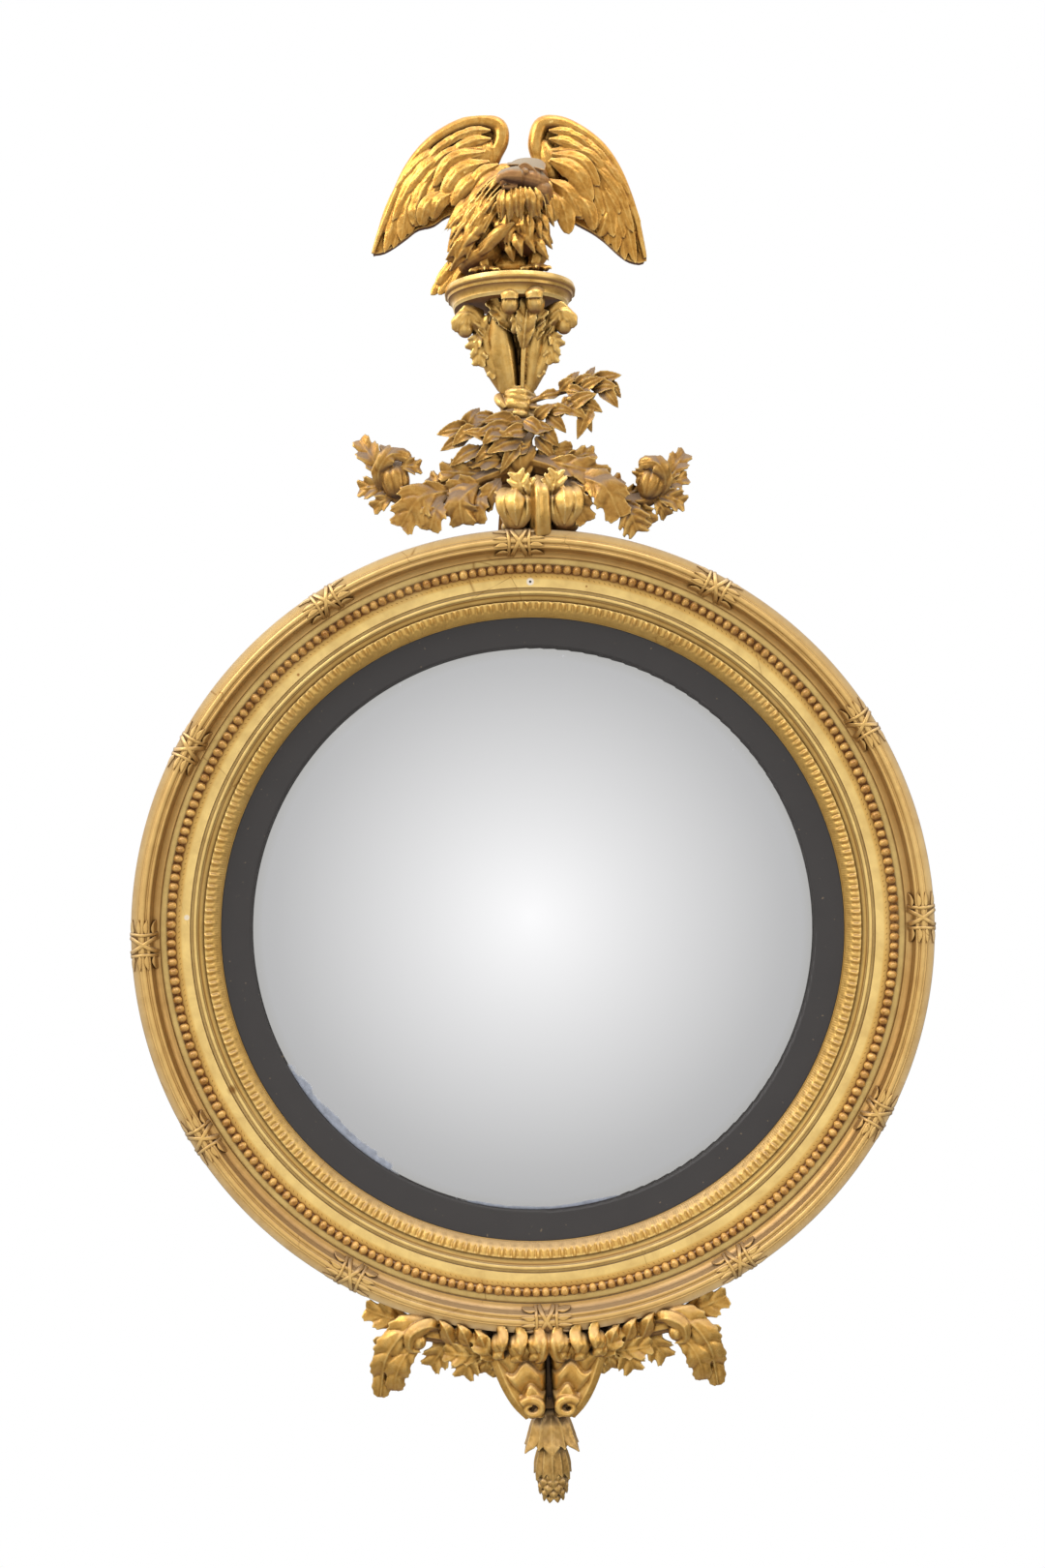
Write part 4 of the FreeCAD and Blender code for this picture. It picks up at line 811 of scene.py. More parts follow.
def stalk_forms():
    """Broad smooth stems that part round a dark gap, over a fluted bell."""
    return [tube([at(CREST_X, 18, 491), at(CREST_X, 19, 506), at(CREST_X, 20, 520), at(CREST_X, 20, 545),
                  at(CREST_X, 22, 568)], [13, 16, 23, 26, 24], sides=72, flutes=9, flute=0.06, flat=0.62),
            tube([at(-3, 30, 492), at(-6, 34, 510), at(-9, 39, 530), at(-10, 44, 550), at(-8, 48, 564)],
                 [9, 11.5, 12.5, 11, 8], sides=24, flutes=3, flute=0.05),
            tube([at(12, 30, 492), at(15, 34, 510), at(18, 39, 530), at(20, 44, 550), at(19, 48, 564)],
                 [7, 9, 10.5, 10.5, 8], sides=24, flutes=3, flute=0.05),
            tube([at(8, 40, 493), at(9.5, 46, 515), at(12, 51, 540), at(14, 57, 562)], [2.0, 2.4, 3.2, 3.4],
                 sides=12),
            tube([at(-8, 29, 497), at(-17, 34, 515), at(-24, 36, 535), at(-31, 40, 552)], [6.5, 8.5, 8.5, 6],
                 sides=24, flutes=3, flute=0.05),
            tube([at(15, 29, 497), at(24, 34, 515), at(31, 36, 535), at(38, 40, 551)], [6.5, 8.5, 8.5, 6],
                 sides=24, flutes=3, flute=0.05),
            tube([at(CREST_X, 20, 492), at(CREST_X, 22, 530), at(CREST_X, 26, 569)], [12, 14, 17], flat=0.9),
            tube([at(CREST_X + 1, 28, 491.5), at(CREST_X + 1, 28, 496.5)], [15.5, 14.5], sides=24, flat=0.9)]


def ball_leaf_forms(sign):
    """A front leaf that climbs the capital and rolls over into a hooded ball under the shelf."""
    x = 10.5 + sign * 11
    forms = [ball(at(x, 67, 565), (8.2, 8.6, 9.6), tilt=sign * 5, flutes=6, flute=0.03),
             petal([at(x - sign, 48, 552), at(x, 56, 572), at(x, 67, 580.5), at(x, 78, 574), at(x, 79, 566)],
                   9.6, lambda s: 0.8 + 0.25 * np.sin(np.pi * s), cup=-0.5, thick=5, cols=13),
             ball(at(x, 56, 568), (10, 9, 12))]
    if sign < 0:
        forms += [leaf((2, 542), (-18, 570), 10, (52, 60), 3, 5, curl=2),
                  leaf((5, 562), (4, 540), 6, (60, 56), 2, 4),
                  leaf((-4, 546), (-13, 558), 7, (50, 54), 2, 4)]
    else:
        forms += [leaf((10, 526), (16, 570), 11, (50, 64), 3, 4, notch=0.2, rib=2.4),
                  leaf((18, 544), (30, 562), 8, (50, 54), 2, 4),
                  leaf((20, 532), (27, 552), 7, (48, 52), 2, 3)]
    return forms


def curl_leaf_forms(sign):
    """A side leaf that grows up the stem to a curled ball, with an upright tip above and lobes below."""
    def side(x):
        return CREST_X + sign * x
    return [ball(at(side(45), 44, 549), (7.6, 8, 8.2), flutes=5, flute=0.04),
            frond([at(side(20), 42, 526), at(side(28), 46, 548), at(side(40), 52, 561), at(side(50), 52, 554),
                   at(side(52), 48, 545)], 10, 3, cup=-0.3, thick=5, notch=0.25),
            leaf((side(24), 538), (side(33), 564), 8, (42, 46), 3, 4),
            leaf((side(30), 545), (side(41), 530), 8, (42, 42), 2, 4),
            leaf((side(16), 535), (side(34), 516), 9.5, (38, 40), 3, 4, bow=(sign * 6, 3), notch=0.3),
            leaf((side(14), 520), (side(24), 505), 6, (34, 38), 2, 3)]


def knot_forms():
    """A cloth band wound round the stems, with slanting folds and a loop at its left."""
    forms = [ball(at(CREST_X + 1, 27, 481), (17.5, 18.5, 13)),
             tube([at(CREST_X, 25, 466), at(CREST_X, 25, 480)], [14, 16]),
             tube([at(-10, 28, 490), at(-14, 34, 487), at(-12, 39, 481), at(-8, 41, 476)],
                  [3.4, 4.4, 4, 2.4], sides=12)]
    for start, rise, wide in ((468, 5, 3.6), (475, 8, 4.6), (483, 7, 4.2), (489, 3, 3.0)):
        forms.append(petal([at(CREST_X - 16, 27, start + rise), at(CREST_X - 7, 43, start + rise * 0.8),
                            at(CREST_X + 8, 45, start + 1), at(CREST_X + 18, 27, start)], wide, band_shape,
                           cup=-0.5, thick=5, rows=18))
    return forms


# ---------------------------------------------------------------- crest: laurel and acanthus
def laurel_spray(stems, leaves, berries):
    """Thin stems, pointed leaves with a raised midrib and a few berries."""
    forms = [tube([at(*p) for p in points], radii, sides=10) for points, radii in stems]
    for root, tip, half, depth in leaves:
        a, b = at(root[0], depth[0], root[1]), at(tip[0], depth[1], tip[1])
        forms.append(petal([a, (a + b) / 2 + at(0, 3.5, 1.5), b], half * 1.22, pointed_shape, FRONT, cup=0.3,
                           thick=2.4, rib=1.0, rows=18))
    return forms + [ball(at(x, depth, z), (2.6, 2.6, 2.6)) for x, depth, z in berries]


def laurel_left_forms():
    stems = [([(4, 40, 474), (-12, 44, 470), (-30, 46, 461), (-52, 46, 452)], [3.2, 2.8, 2.4, 1.6]),
             ([(6, 40, 470), (-6, 47, 458), (-20, 48, 446), (-42, 46, 436)], [3.0, 2.6, 2.2, 1.5]),
             ([(14, 42, 462), (-2, 46, 452), (-16, 46, 438), (-30, 44, 426)], [4.0, 4.5, 3.6, 1.8])]
    leaves = [((-38, 456), (-72, 453.5), 7.0, (48, 46)), ((-46, 455), (-31, 478), 6.6, (44, 40)),
              ((-34, 458), (-58, 441), 6.0, (51, 53)), ((-32, 440), (-61, 423), 5.8, (49, 48)),
              ((-42, 449), (-69, 438), 5.4, (48, 46)), ((2, 460), (-30, 462), 7.2, (51, 56)),
              ((6, 446), (-27, 433), 7.4, (51, 55)), ((4, 442), (-15, 415), 5.4, (52, 48)),
              ((-16, 464), (-40, 469), 5.2, (46, 42)), ((-4, 456), (-36, 449), 6.4, (53, 58)),
              ((-20, 447), (-48, 453), 5.2, (53, 56)), ((-16, 441), (-38, 426), 5.4, (50, 48)),
              ((12, 453), (-14, 447), 6.0, (53, 58)), ((-26, 437), (-54, 431), 5.0, (47, 43)),
              ((8, 462), (-16, 454), 5.4, (48, 53)), ((0, 449), (-22, 428), 5.2, (48, 46)),
              ((12, 440), (-8, 428), 5.4, (48, 50)), ((-14, 452), (-30, 440), 5.4, (56, 58))]
    return laurel_spray(stems, leaves, [(-12, 57, 452), (-4, 58, 449), (-27, 56, 444)])


def laurel_right_forms():
    stems = [([(8, 34, 480), (22, 40, 484), (45, 43, 489), (72, 44, 494), (88, 44, 496)],
              [3.0, 2.8, 2.6, 2.2, 1.4]),
             ([(10, 36, 478), (28, 44, 474), (48, 46, 472), (66, 46, 477), (76, 45, 489)],
              [3.2, 3.0, 2.8, 2.4, 1.6]),
             ([(8, 40, 466), (22, 46, 456), (34, 47, 462), (50, 46, 474)], [3.4, 3.6, 3.0, 2.0])]
    leaves = [((46, 488), (61, 508), 4.8, (44, 40)), ((64, 491), (75.5, 512), 4.2, (44, 40)),
              ((70, 494), (99, 501), 6.0, (46, 49)), ((70, 490), (95, 490), 5.6, (48, 51)),
              ((78, 491), (95, 471), 6.0, (47, 48)), ((70, 475), (56, 444), 6.2, (48, 46)),
              ((50, 474), (76, 484), 5.6, (51, 54)), ((42, 487), (20, 483), 4.2, (43, 40)),
              ((48, 488), (67, 481), 5.4, (49, 51)), ((28, 467), (47, 450), 5.6, (50, 48)),
              ((22, 456), (40, 437), 5.8, (50, 47)), ((32, 470), (53, 468), 5.2, (51, 53)),
              ((44, 474), (66, 462), 5.6, (49, 51)), ((18, 462), (37, 476), 5.2, (51, 53)),
              ((12, 454), (35, 452), 5.6, (53, 56)), ((58, 479), (81, 468), 5.4, (47, 45)),
              ((42, 489), (57, 500), 4.8, (46, 48)), ((56, 492), (75, 501), 4.8, (48, 50)),
              ((84, 496), (98, 481), 4.6, (45, 43)), ((18, 448), (36, 426), 5.4, (47, 44)),
              ((60, 488), (84, 498), 4.6, (51, 54)), ((62, 470), (70, 450), 4.2, (46, 44)),
              ((52, 482), (42, 466), 4.6, (50, 51)), ((8, 462), (26, 446), 6.0, (54, 56))]
    return laurel_spray(stems, leaves, [(50, 54, 480), (38, 54, 474), (66, 53, 486), (84, 51, 489)])


def acanthus_left_forms():
    """The left branch: leaves hang from it, and its end rolls into a bulb between three more."""
    return [tube([at(0, 34, 424), at(-28, 38, 414), at(-58, 40, 402), at(-88, 42, 396), at(-110, 42, 400),
                  at(-126, 42, 414)], [11, 10, 8.5, 7, 7, 5], flutes=4, flute=0.12),
            ball(at(-110, 48, 414), (13.5, 13, 17.5), tilt=8, flutes=7, flute=0.05),
            frond([at(-124, 44, 402), at(-124, 58, 420), at(-112, 64, 434), at(-94, 56, 432)], 9, 3,
                  cup=-0.3, thick=4.5, notch=0.25),
            leaf((-106, 424), (-87, 424), 9, (56, 50), 2, 3),
            leaf((-118, 414), (-142, 453), 13, (42, 38), 3, 4),
            leaf((-120, 428), (-119, 447), 7, (42, 36), 2, 3),
            leaf((-112, 408), (-144, 408), 12, (44, 38), 3, 4),
            leaf((-112, 400), (-132, 389), 9, (44, 40), 2, 4),
            leaf((-58, 402), (-106, 370), 20, (46, 54), 4, 9, bow=(-6, 8), cup=-0.2, ridge=2.2, curl=3),
            leaf((-70, 398), (-80, 366), 13, (48, 54), 2, 6, ridge=2),
            leaf((-34, 408), (-50, 370), 18, (46, 56), 3, 10, bow=(-9, 2), cup=-0.35, ridge=1.6),
            leaf((-34, 404), (-37, 371), 11, (44, 50), 2, 6),
            leaf((-62, 404), (-80, 417), 9, (42, 36), 2, 3),
            leaf((-24, 416), (-69, 420), 14, (42, 42), 3, 4),
            leaf((-30, 408), (-62, 402), 12, (44, 50), 2, 5), leaf((2, 428), (-42, 429), 12, (44, 46), 3, 5),
            leaf((-14, 412), (-32, 386), 12, (44, 48), 2, 5, ridge=1.0)]


def acanthus_right_forms():
    """The right branch, a little longer and lower than the left one."""
    return [tube([at(6, 34, 430), at(28, 40, 422), at(52, 42, 410), at(76, 42, 398), at(98, 42, 388),
                  at(118, 42, 388), at(136, 42, 402)], [11, 10, 9, 7.5, 6.5, 6.5, 4.5], flutes=4,
                 flute=0.12),
            ball(at(122, 48, 403), (13, 12, 16), tilt=-18, flutes=7, flute=0.05),
            frond([at(130, 44, 388), at(134, 58, 404), at(126, 64, 418), at(110, 56, 419)], 9, 3, cup=-0.3,
                  thick=4.5, notch=0.25),
            leaf((120, 412), (108, 408), 8, (54, 50), 2, 3),
            leaf((130, 402), (155, 430), 12, (42, 38), 3, 4),
            leaf((132, 400), (156, 408), 9, (42, 38), 2, 4),
            leaf((124, 394), (152, 384), 12, (44, 40), 3, 4),
            leaf((124, 390), (136, 373), 9, (44, 40), 2, 4),
            leaf((96, 390), (108, 359), 17, (44, 48), 4, 6, ridge=2.0),
            leaf((106, 386), (122, 366), 10, (42, 44), 2, 4),
            leaf((50, 412), (92, 371), 19, (48, 58), 3, 10, bow=(7, 7), cup=-0.25, ridge=2.0, curl=2),
            leaf((40, 412), (62, 369), 15, (46, 52), 3, 7, ridge=1.6),
            leaf((26, 426), (84, 409), 14, (46, 50), 3, 6), leaf((40, 424), (72, 433), 10, (44, 42), 3, 4),
            leaf((14, 432), (52, 437), 10, (42, 42), 2, 4), leaf((76, 398), (96, 409), 9, (40, 36), 2, 3),
            leaf((92, 392), (119, 399), 8, (40, 38), 2, 3),
            leaf((16, 414), (34, 386), 13, (42, 48), 2, 6, ridge=1.0),
            leaf((4, 398), (3, 466), 17, (40, 44), 4, 8, cup=-0.2, notch=0.3)]


def boss_forms():
    """The rolled leaves in the middle of the rim: two ribbed scrolls beside a fluted stem."""
    left, right = [], []
    for x, sign, forms in ((-1.5, -1, left), (41.5, 1, right)):
        forms += [ball(at(x, 51, 381), (15, 13, 18), tilt=5 * sign, flutes=5, flute=0.05),
                  petal([at(x + sign * 3, 48, 402), at(x + sign * 9, 62, 395), at(x + sign * 11, 64, 381),
                         at(x + sign * 6, 56, 366)], 7.5, leaf_shape, cup=-0.45, thick=5, rib=1.0, cols=13),
                  petal([at(x - sign * 3, 50, 402), at(x, 65, 396), at(x + sign, 69, 381),
                         at(x, 60, 365)], 8.4, leaf_shape, cup=-0.45, thick=5, rib=1.4, cols=13),
                  petal([at(x - sign * 8, 50, 398), at(x - sign * 10, 60, 391), at(x - sign * 10, 62, 378),
                         at(x - sign * 6, 55, 365)], 7.0, leaf_shape, cup=-0.45, thick=4.5, rib=0.8, cols=11),
                  leaf((x + sign * 12, 388), (x + sign * 15, 399), 6, (48, 54), 2, 3),
                  ball(at(x, 40, 368), (14, 12, 9))]
    left += [leaf((7, 388), (0, 414), 12, (54, 60), 3, 4), leaf((12, 390), (12, 409), 7, (56, 60), 2, 3)]
    right += [leaf((32, 388), (36, 414), 12, (54, 60), 3, 4), leaf((29, 390), (27, 408), 7, (56, 60), 2, 3)]
    stem = [tube([at(20.5, 47, 362), at(20.5, 56, 377), at(20.5, 57, 394), at(19.5, 46, 408)],
                 [10, 9.5, 9, 6], sides=40, flutes=5, flute=0.1, flat=1.25),
            ball(at(20, 40, 368), (16, 12, 8))]
    return left, right, stem


# ---------------------------------------------------------------- eagle
def feather(root, tip, half, depth, lift=2.0, thick=2.6, bend=(0, 0), shape=feather_shape, cup=-0.26,
            barbs=0.1):
    """A feather from root to tip, both (across, up); bend pushes its middle sideways in the same terms."""
    a, b = at(root[0], depth[0], root[1]), at(tip[0], depth[1], tip[1])
    middle = (a + b) / 2 + at(bend[0], lift, bend[1])
    return petal([a, middle, b], half, shape, cup=cup, thick=thick, rib=0.7, grooves=barbs, rows=26)


def feather_row(roots, tips, halves, depths, lift=3.0, bow=(0, 0), step=0.9):
    """Overlapping feathers whose roots and tips run along two curves; each lies on the one before."""
    count = len(halves)
    starts = smooth([(x, 0, z) for x, z in roots], count)
    ends = smooth([(x, 0, z) for x, z in tips], count)
    forms = []
    for k, (a, b, half) in enumerate(zip(starts, ends, halves)):
        t = k / (count - 1)
        near_by = depths[0] + (depths[1] - depths[0]) * t + (k % 2) * step
        forms.append(feather((a[0], a[2]), (b[0], b[2]), half, (near_by, near_by - 2), lift,
                             bend=(bow[0] * (1 - t), bow[1] * (1 - t))))
    return forms


def wing_edge(points):
    """The rolled leading edge, thickest at the wrist and set back into the shoulder."""
    depths = np.interp(np.linspace(0, 1, len(points)), [0, 0.2, 1], [50, 52, 45])
    return tube([at(x, d, z) for (x, z), d in zip(points, depths)],
                [6, 7.0, 7.4, 7.0, 6.4, 5.6, 4.8, 4.0, 3.4, 2.8, 1.6], sides=20, rows=90)


def wing_forms(edge, shoulder, lower, rows, singles):
    """A solid vane under a rolled leading edge, with rows of feathers and large inner coverts."""
    forms = [wing_edge(edge), shoulder, sheet(edge, lower, (54, 44, 42), 7)]
    for (roots, tips, halves, bow), (depths, lift, step) in zip(rows, WING_ROWS):
        forms += feather_row(roots, tips, halves, depths, lift, bow, step)
    for root, tip, half, depth, bend in singles:
        forms.append(feather(root, tip, half, depth, 4, 3, bend))
    return forms


# each row's depths off the wall, lift and step between neighbours; the same for both wings
WING_ROWS = [((46, 51), 3, 1.6), ((50, 54), 3, 1.6), ((53, 57), 3, 1.6),
             ((58, 52), 2, 0.9), ((59, 54), 2, 0.9), ((57, 59), 4, 1.4)]
LONG_QUILLS, MIDDLE_QUILLS = [6, 6.5, 7, 7, 7, 7], [5.5, 6, 6.5, 7, 7, 7]
UPPER_COVERTS, LOWER_COVERTS, INNER_COVERTS = [4.2] * 8, [4.6] * 8, [4.6, 5.4, 6]
# per wing: leading edge, shoulder, lower edge, rows (roots, tips, half widths, bow), single feathers
WING_LEFT = ([(-15, 690), (-9, 704), (-3, 717), (-6, 730), (-26, 734), (-50, 727), (-72, 713), (-90, 692),
              (-104, 665), (-116, 639), (-123.5, 620)],
             ball(at(-19, 50, 698), (11, 10, 22), tilt=-14),
             [(-16, 666), (-22, 662), (-30, 658), (-44, 655), (-57, 651), (-68, 644), (-82, 641), (-92, 634),
              (-104, 626), (-114, 621), (-122, 620)],
             [([(-42, 714), (-60, 702), (-74, 686), (-82, 668)],
               [(-122, 622), (-113, 620), (-103, 625), (-93, 633), (-83, 641)], LONG_QUILLS, (-11, 12)),
              ([(-24, 714), (-42, 706), (-58, 692), (-64, 676)],
               [(-113, 652), (-101, 646), (-89, 643), (-77, 641), (-68, 645)], MIDDLE_QUILLS, (-12, 11)),
              ([(-14, 712), (-30, 704), (-42, 694)], [(-100, 678), (-88, 669), (-74, 662), (-62, 656)],
               [5, 5.6, 6, 6.4, 6.4], (-11, 10)),
              ([(-12, 724), (-34, 722), (-56, 712), (-76, 695)],
               [(-44, 717), (-66, 704), (-84, 684), (-98, 662)], UPPER_COVERTS, (-3, 3)),
              ([(-12, 716), (-26, 714), (-44, 706), (-60, 694)],
               [(-44, 706), (-62, 694), (-78, 676), (-88, 656)], LOWER_COVERTS, (-3, 3)),
              ([(-10, 708), (-18, 702), (-24, 694)], [(-74, 686), (-66, 677), (-56, 668)], INNER_COVERTS,
               (-8, 8))],
             [((-18, 704), (-66, 674), 6.5, (60, 60), (-6, 8)),
              ((-14, 694), (-60, 661), 8, (63, 61), (-5, 7)),
              ((-12, 682), (-50, 655), 7.5, (66, 63), (-3, 5)),
              ((-56, 670), (-79, 640), 7, (60, 57), (-5, 2)), ((-48, 668), (-68, 645), 7, (62, 59), (-3, 2)),
              ((-6, 690), (-34, 664), 6.5, (67, 65), (-3, 3)),
              ((-4, 680), (-28, 652), 6.5, (66, 63), (-3, 3))])
# the right wing spreads lower and shows two broad inner feathers
WING_RIGHT = (
    [(31, 686), (30, 700), (28, 713), (34, 729), (50, 730), (68, 722), (86, 708), (99, 690), (109, 668),
     (117, 642), (124, 607)],
    ball(at(39, 50, 696), (10, 10, 21), tilt=12),
    [(38, 668), (42, 658), (48, 652), (58, 644), (68, 638), (78, 632), (88, 624), (98, 614), (108, 606),
     (118, 603), (123, 604)],
    [([(64, 710), (80, 697), (90, 680), (96, 660)],
      [(125, 604), (115, 602), (105, 606), (94, 616), (83, 626)], LONG_QUILLS, (9, 11)),
     ([(46, 710), (62, 700), (74, 684), (80, 668)],
      [(121, 636), (111, 627), (100, 624), (88, 628), (77, 631)], MIDDLE_QUILLS, (11, 11)),
     ([(38, 706), (52, 698), (64, 686)],
      [(112, 664), (101, 653), (89, 646), (77, 640)], [5, 5.6, 6, 6.4, 6.6], (10, 9)),
     ([(40, 722), (58, 717), (78, 704), (92, 686)],
      [(70, 711), (89, 696), (102, 676), (110, 652)], UPPER_COVERTS, (3, 3)),
     ([(40, 714), (56, 708), (72, 696), (84, 678)],
      [(70, 700), (86, 686), (97, 668), (102, 646)], LOWER_COVERTS, (3, 3)),
     ([(36, 704), (44, 699), (50, 692)],
      [(92, 684), (84, 673), (74, 662)], INNER_COVERTS, (8, 7))],
    [((42, 700), (84, 669), 6.8, (60, 60), (5, 7)), ((40, 694), (77, 655), 9, (63, 61), (4, 6)),
     ((38, 676), (66, 642), 8, (62, 60), (3, 4)), ((38, 668), (55, 627), 9, (62, 59), (4, 3)),
     ((60, 666), (78, 630), 7, (60, 56), (4, 2)), ((50, 666), (68, 640), 7, (61, 58), (3, 2)),
     ((34, 666), (43, 638), 7, (64, 62), (2, 2))])


def tuft(root, tip, half, depth, lift=4.0, thick=3.6):
    """A soft pointed lock of plumage."""
    return feather(root, tip, half, depth, lift, thick, shape=pointed_shape, cup=-0.4, barbs=0.12)


def ruff_forms():
    """Hair-like chin feathers below the beak, and those of the cheek's edge."""
    forms = []
    for root, tip, half, depth in (((-3, 656), (-9, 636), 3.6, (101, 95)),
                                   ((-1, 656), (-5, 630), 3.8, (104, 97)),
                                   ((4, 656), (1, 627), 4.2, (106, 98)),
                                   ((8, 656), (8, 631), 3.8, (107, 99)),
                                   ((12, 657), (12, 628), 4.2, (106, 98)),
                                   ((16, 657), (19, 636), 3.8, (105, 97)),
                                   ((20, 657), (24, 632), 4.2, (103, 95)),
                                   ((25, 658), (31, 639), 4.0, (99, 91)),
                                   ((29, 662), (38, 645), 4.4, (93, 85)),
                                   ((33, 670), (42, 653), 4.4, (85, 78))):
        forms.append(tuft(root, tip, half, depth, 5, 3))
    rng = np.random.default_rng(5)
    for k in range(40):
        x = -7 + 40 * rng.random()
        deep = 104 - abs(x - 8) * 0.42
        forms.append(strand([at(x * 0.9, deep, 658), at(x + 1.5 * rng.standard_normal(), deep + 3, 645),
                             at(x * 1.1 - 1, deep - 4, 628 + 9 * rng.random())], 0.8))
    return forms


def body_forms():
    """Breast and thighs: long soft locks that sweep down to the left, with fine strands over them."""
    forms = [ball(at(-8, 48, 658), (30, 30, 34), tilt=12), ball(at(8, 52, 640), (27, 28, 26)),
             ball(at(-24, 46, 632), (24, 26, 28), tilt=-30), ball(at(8, 50, 676), (26, 24, 16)),
             ball(at(-26, 48, 612), (22, 24, 13), tilt=24), ball(at(20, 56, 622), (14, 22, 12)),
             ball(at(2, 42, 604), (24, 16, 14)), ball(at(18, 72, 621), (7.5, 9, 8)),
             ball(at(-14, 52, 684), (14, 16, 8), tilt=30)]
    rng = np.random.default_rng(3)
    for root, tip, count, half, depth, length, sweep in (((6, 690), (-18, 676), 5, 6.0, (66, 72), 34, 220),
                                                         ((4, 682), (-30, 662), 6, 6.4, (74, 74), 34, 226),
                                                         ((2, 672), (-36, 646), 6, 6.8, (80, 74), 34, 232),
                                                         ((-4, 660), (-38, 632), 6, 6.8, (82, 74), 32, 234),
                                                         ((-10, 646), (-38, 618), 5, 6.4, (80, 72), 28,
                                                          226)):
        for k in range(count):
            t = k / (count - 1)
            x, z = root[0] + (tip[0] - root[0]) * t, root[1] + (tip[1] - root[1]) * t
            turn = math.radians(sweep + 10 * (rng.random() - 0.5) + 12 * (t - 0.5))
            reach = length * (0.85 + 0.3 * rng.random())
            deep = depth[0] + (depth[1] - depth[0]) * t - 14 * max(0, t - 0.5)
            forms.append(tuft((x, z), (x + reach * math.cos(turn), z + reach * math.sin(turn)), half,
                              (deep, deep - 3)))
    for k in range(60):
        t, v = rng.random(), rng.random()
        x, z = 4 - 38 * t - 4 * v, 692 - 30 * t - 48 * v
        deep = 78 + 9 * math.sin(math.pi * v) - 16 * t
        turn = math.radians(222 + 14 * v + 8 * (rng.random() - 0.5))
        run = 26 + 10 * rng.random()
        forms.append(strand([at(x, deep - 2, z),
                             at(x + run * 0.5 * math.cos(turn) - 1, deep + 1,
                                z + run * 0.5 * math.sin(turn)),
                             at(x + run * math.cos(turn), deep - 4, z + run * math.sin(turn))], 1.1))
    for k in range(9):
        t = k / 8
        x, z = 6 - 16 * t, 632 - 14 * t
        forms.append(tuft((x, z), (x - 34 + 8 * t, z - 16 - 3 * math.sin(5 * t)), 4.6,
                          (84 - 4 * t, 72 - 12 * t), 5.0))
    for k in range(7):
        x = -8 + 6.5 * k
        forms.append(tuft((x * 0.8, 640 + 2 * math.sin(3.1 * k)),
                          (x - 3 + 2 * math.sin(2.3 * k), 616 + 5 * math.cos(1.9 * k)), 4.4,
                          (78 + 4 * math.sin(1.7 * k), 76), 4.0))
    for root, tip, depth in (((30, 668), (42, 644), (70, 64)), ((32, 656), (42, 632), (70, 64)),
                             ((28, 644), (38, 622), (72, 66)), ((24, 634), (40, 612), (70, 64)),
                             ((22, 624), (36, 601), (72, 68)), ((28, 630), (41, 619), (62, 58)),
                             ((12, 632), (24, 606), (78, 74)), ((6, 624), (12, 603), (80, 76)),
                             ((0, 620), (4, 600), (74, 70))):
        forms.append(tuft(root, tip, 5.4, depth))
    return forms + ruff_forms()


def head_forms():
    """Bowed head turned down to the left: flat crown, wrinkled brow, eye, hooked beak and cheek."""
    forms = [ball(at(17, 82, 667), (22, 22, 13.5), tilt=-10), ball(at(20, 74, 674), (18, 22, 12)),
             ball(at(6, 98, 665), (12, 13, 8.5), tilt=16), ball(at(28, 82, 658), (13, 16, 12)),
             petal([at(19, 60, 696), at(19, 78, 691), at(19, 92, 683), at(18, 100, 677)], 17,
                   lambda s: 0.06 + 0.94 * np.clip(s * 1.3, 0, 1), cup=-0.12, thick=7, cols=13),
             tube([at(10, 104, 667), at(0, 112, 665), at(-5, 116, 662), at(-8, 115, 657)],
                  [8, 6.4, 4.6, 1.4], sides=18, flat=0.85, rows=20),
             tube([at(8, 101, 657.5), at(0, 106, 656.5), at(-3, 107, 656.5)], [4.4, 3.2, 1.8], sides=14,
                  rows=14),
             ball(at(17, 103, 670), (3.2, 2.6, 3.0))]
    for reach, rise in ((5.2, 3.0), (8.4, 5.2), (11.4, 7.2)):
        brow = [at(17 - reach, 105 - reach * 0.1, 669), at(17, 103, 670 + rise), at(17 + reach, 98, 668),
                at(17 + reach * 0.9, 98, 662)]
        forms.append(tube(brow, [0.9, 1.5, 1.4, 0.8], sides=10, rows=20))
    rng = np.random.default_rng(9)
    for k in range(34):
        turn = math.radians(-75 + 120 * k / 33)
        start, stop = 7 + 3 * rng.random(), 17 + 7 * rng.random()
        a = (20 + start * math.cos(turn), 667 + start * 0.8 * math.sin(turn))
        b = (20 + stop * math.cos(turn), 667 + stop * 0.75 * math.sin(turn) - 2)
        deep = 99 - 0.75 * start, 96 - 0.9 * stop
        middle = at((a[0] + b[0]) / 2, (deep[0] + deep[1]) / 2 + 2, (a[1] + b[1]) / 2)
        forms.append(strand([at(a[0], deep[0], a[1]), middle, at(b[0], deep[1], b[1])], 1.0))
    return forms


def tail_forms():
    """Tail feathers that hang behind the shelf at the left."""
    forms = []
    for root, tip, half, depth in (((-34, 628), (-73, 585), 6.5, (28, 27)),
                                   ((-34, 624), (-66, 584.5), 6.5, (31, 30)),
                                   ((-33, 620), (-58, 584.5), 6.5, (32.5, 31.5)),
                                   ((-33, 618), (-50, 586), 5.5, (31, 30)),
                                   ((-36, 628), (-68, 594), 6.0, (33, 31))):
        forms.append(feather(root, tip, half, depth, 0.6, 3.4))
    return forms


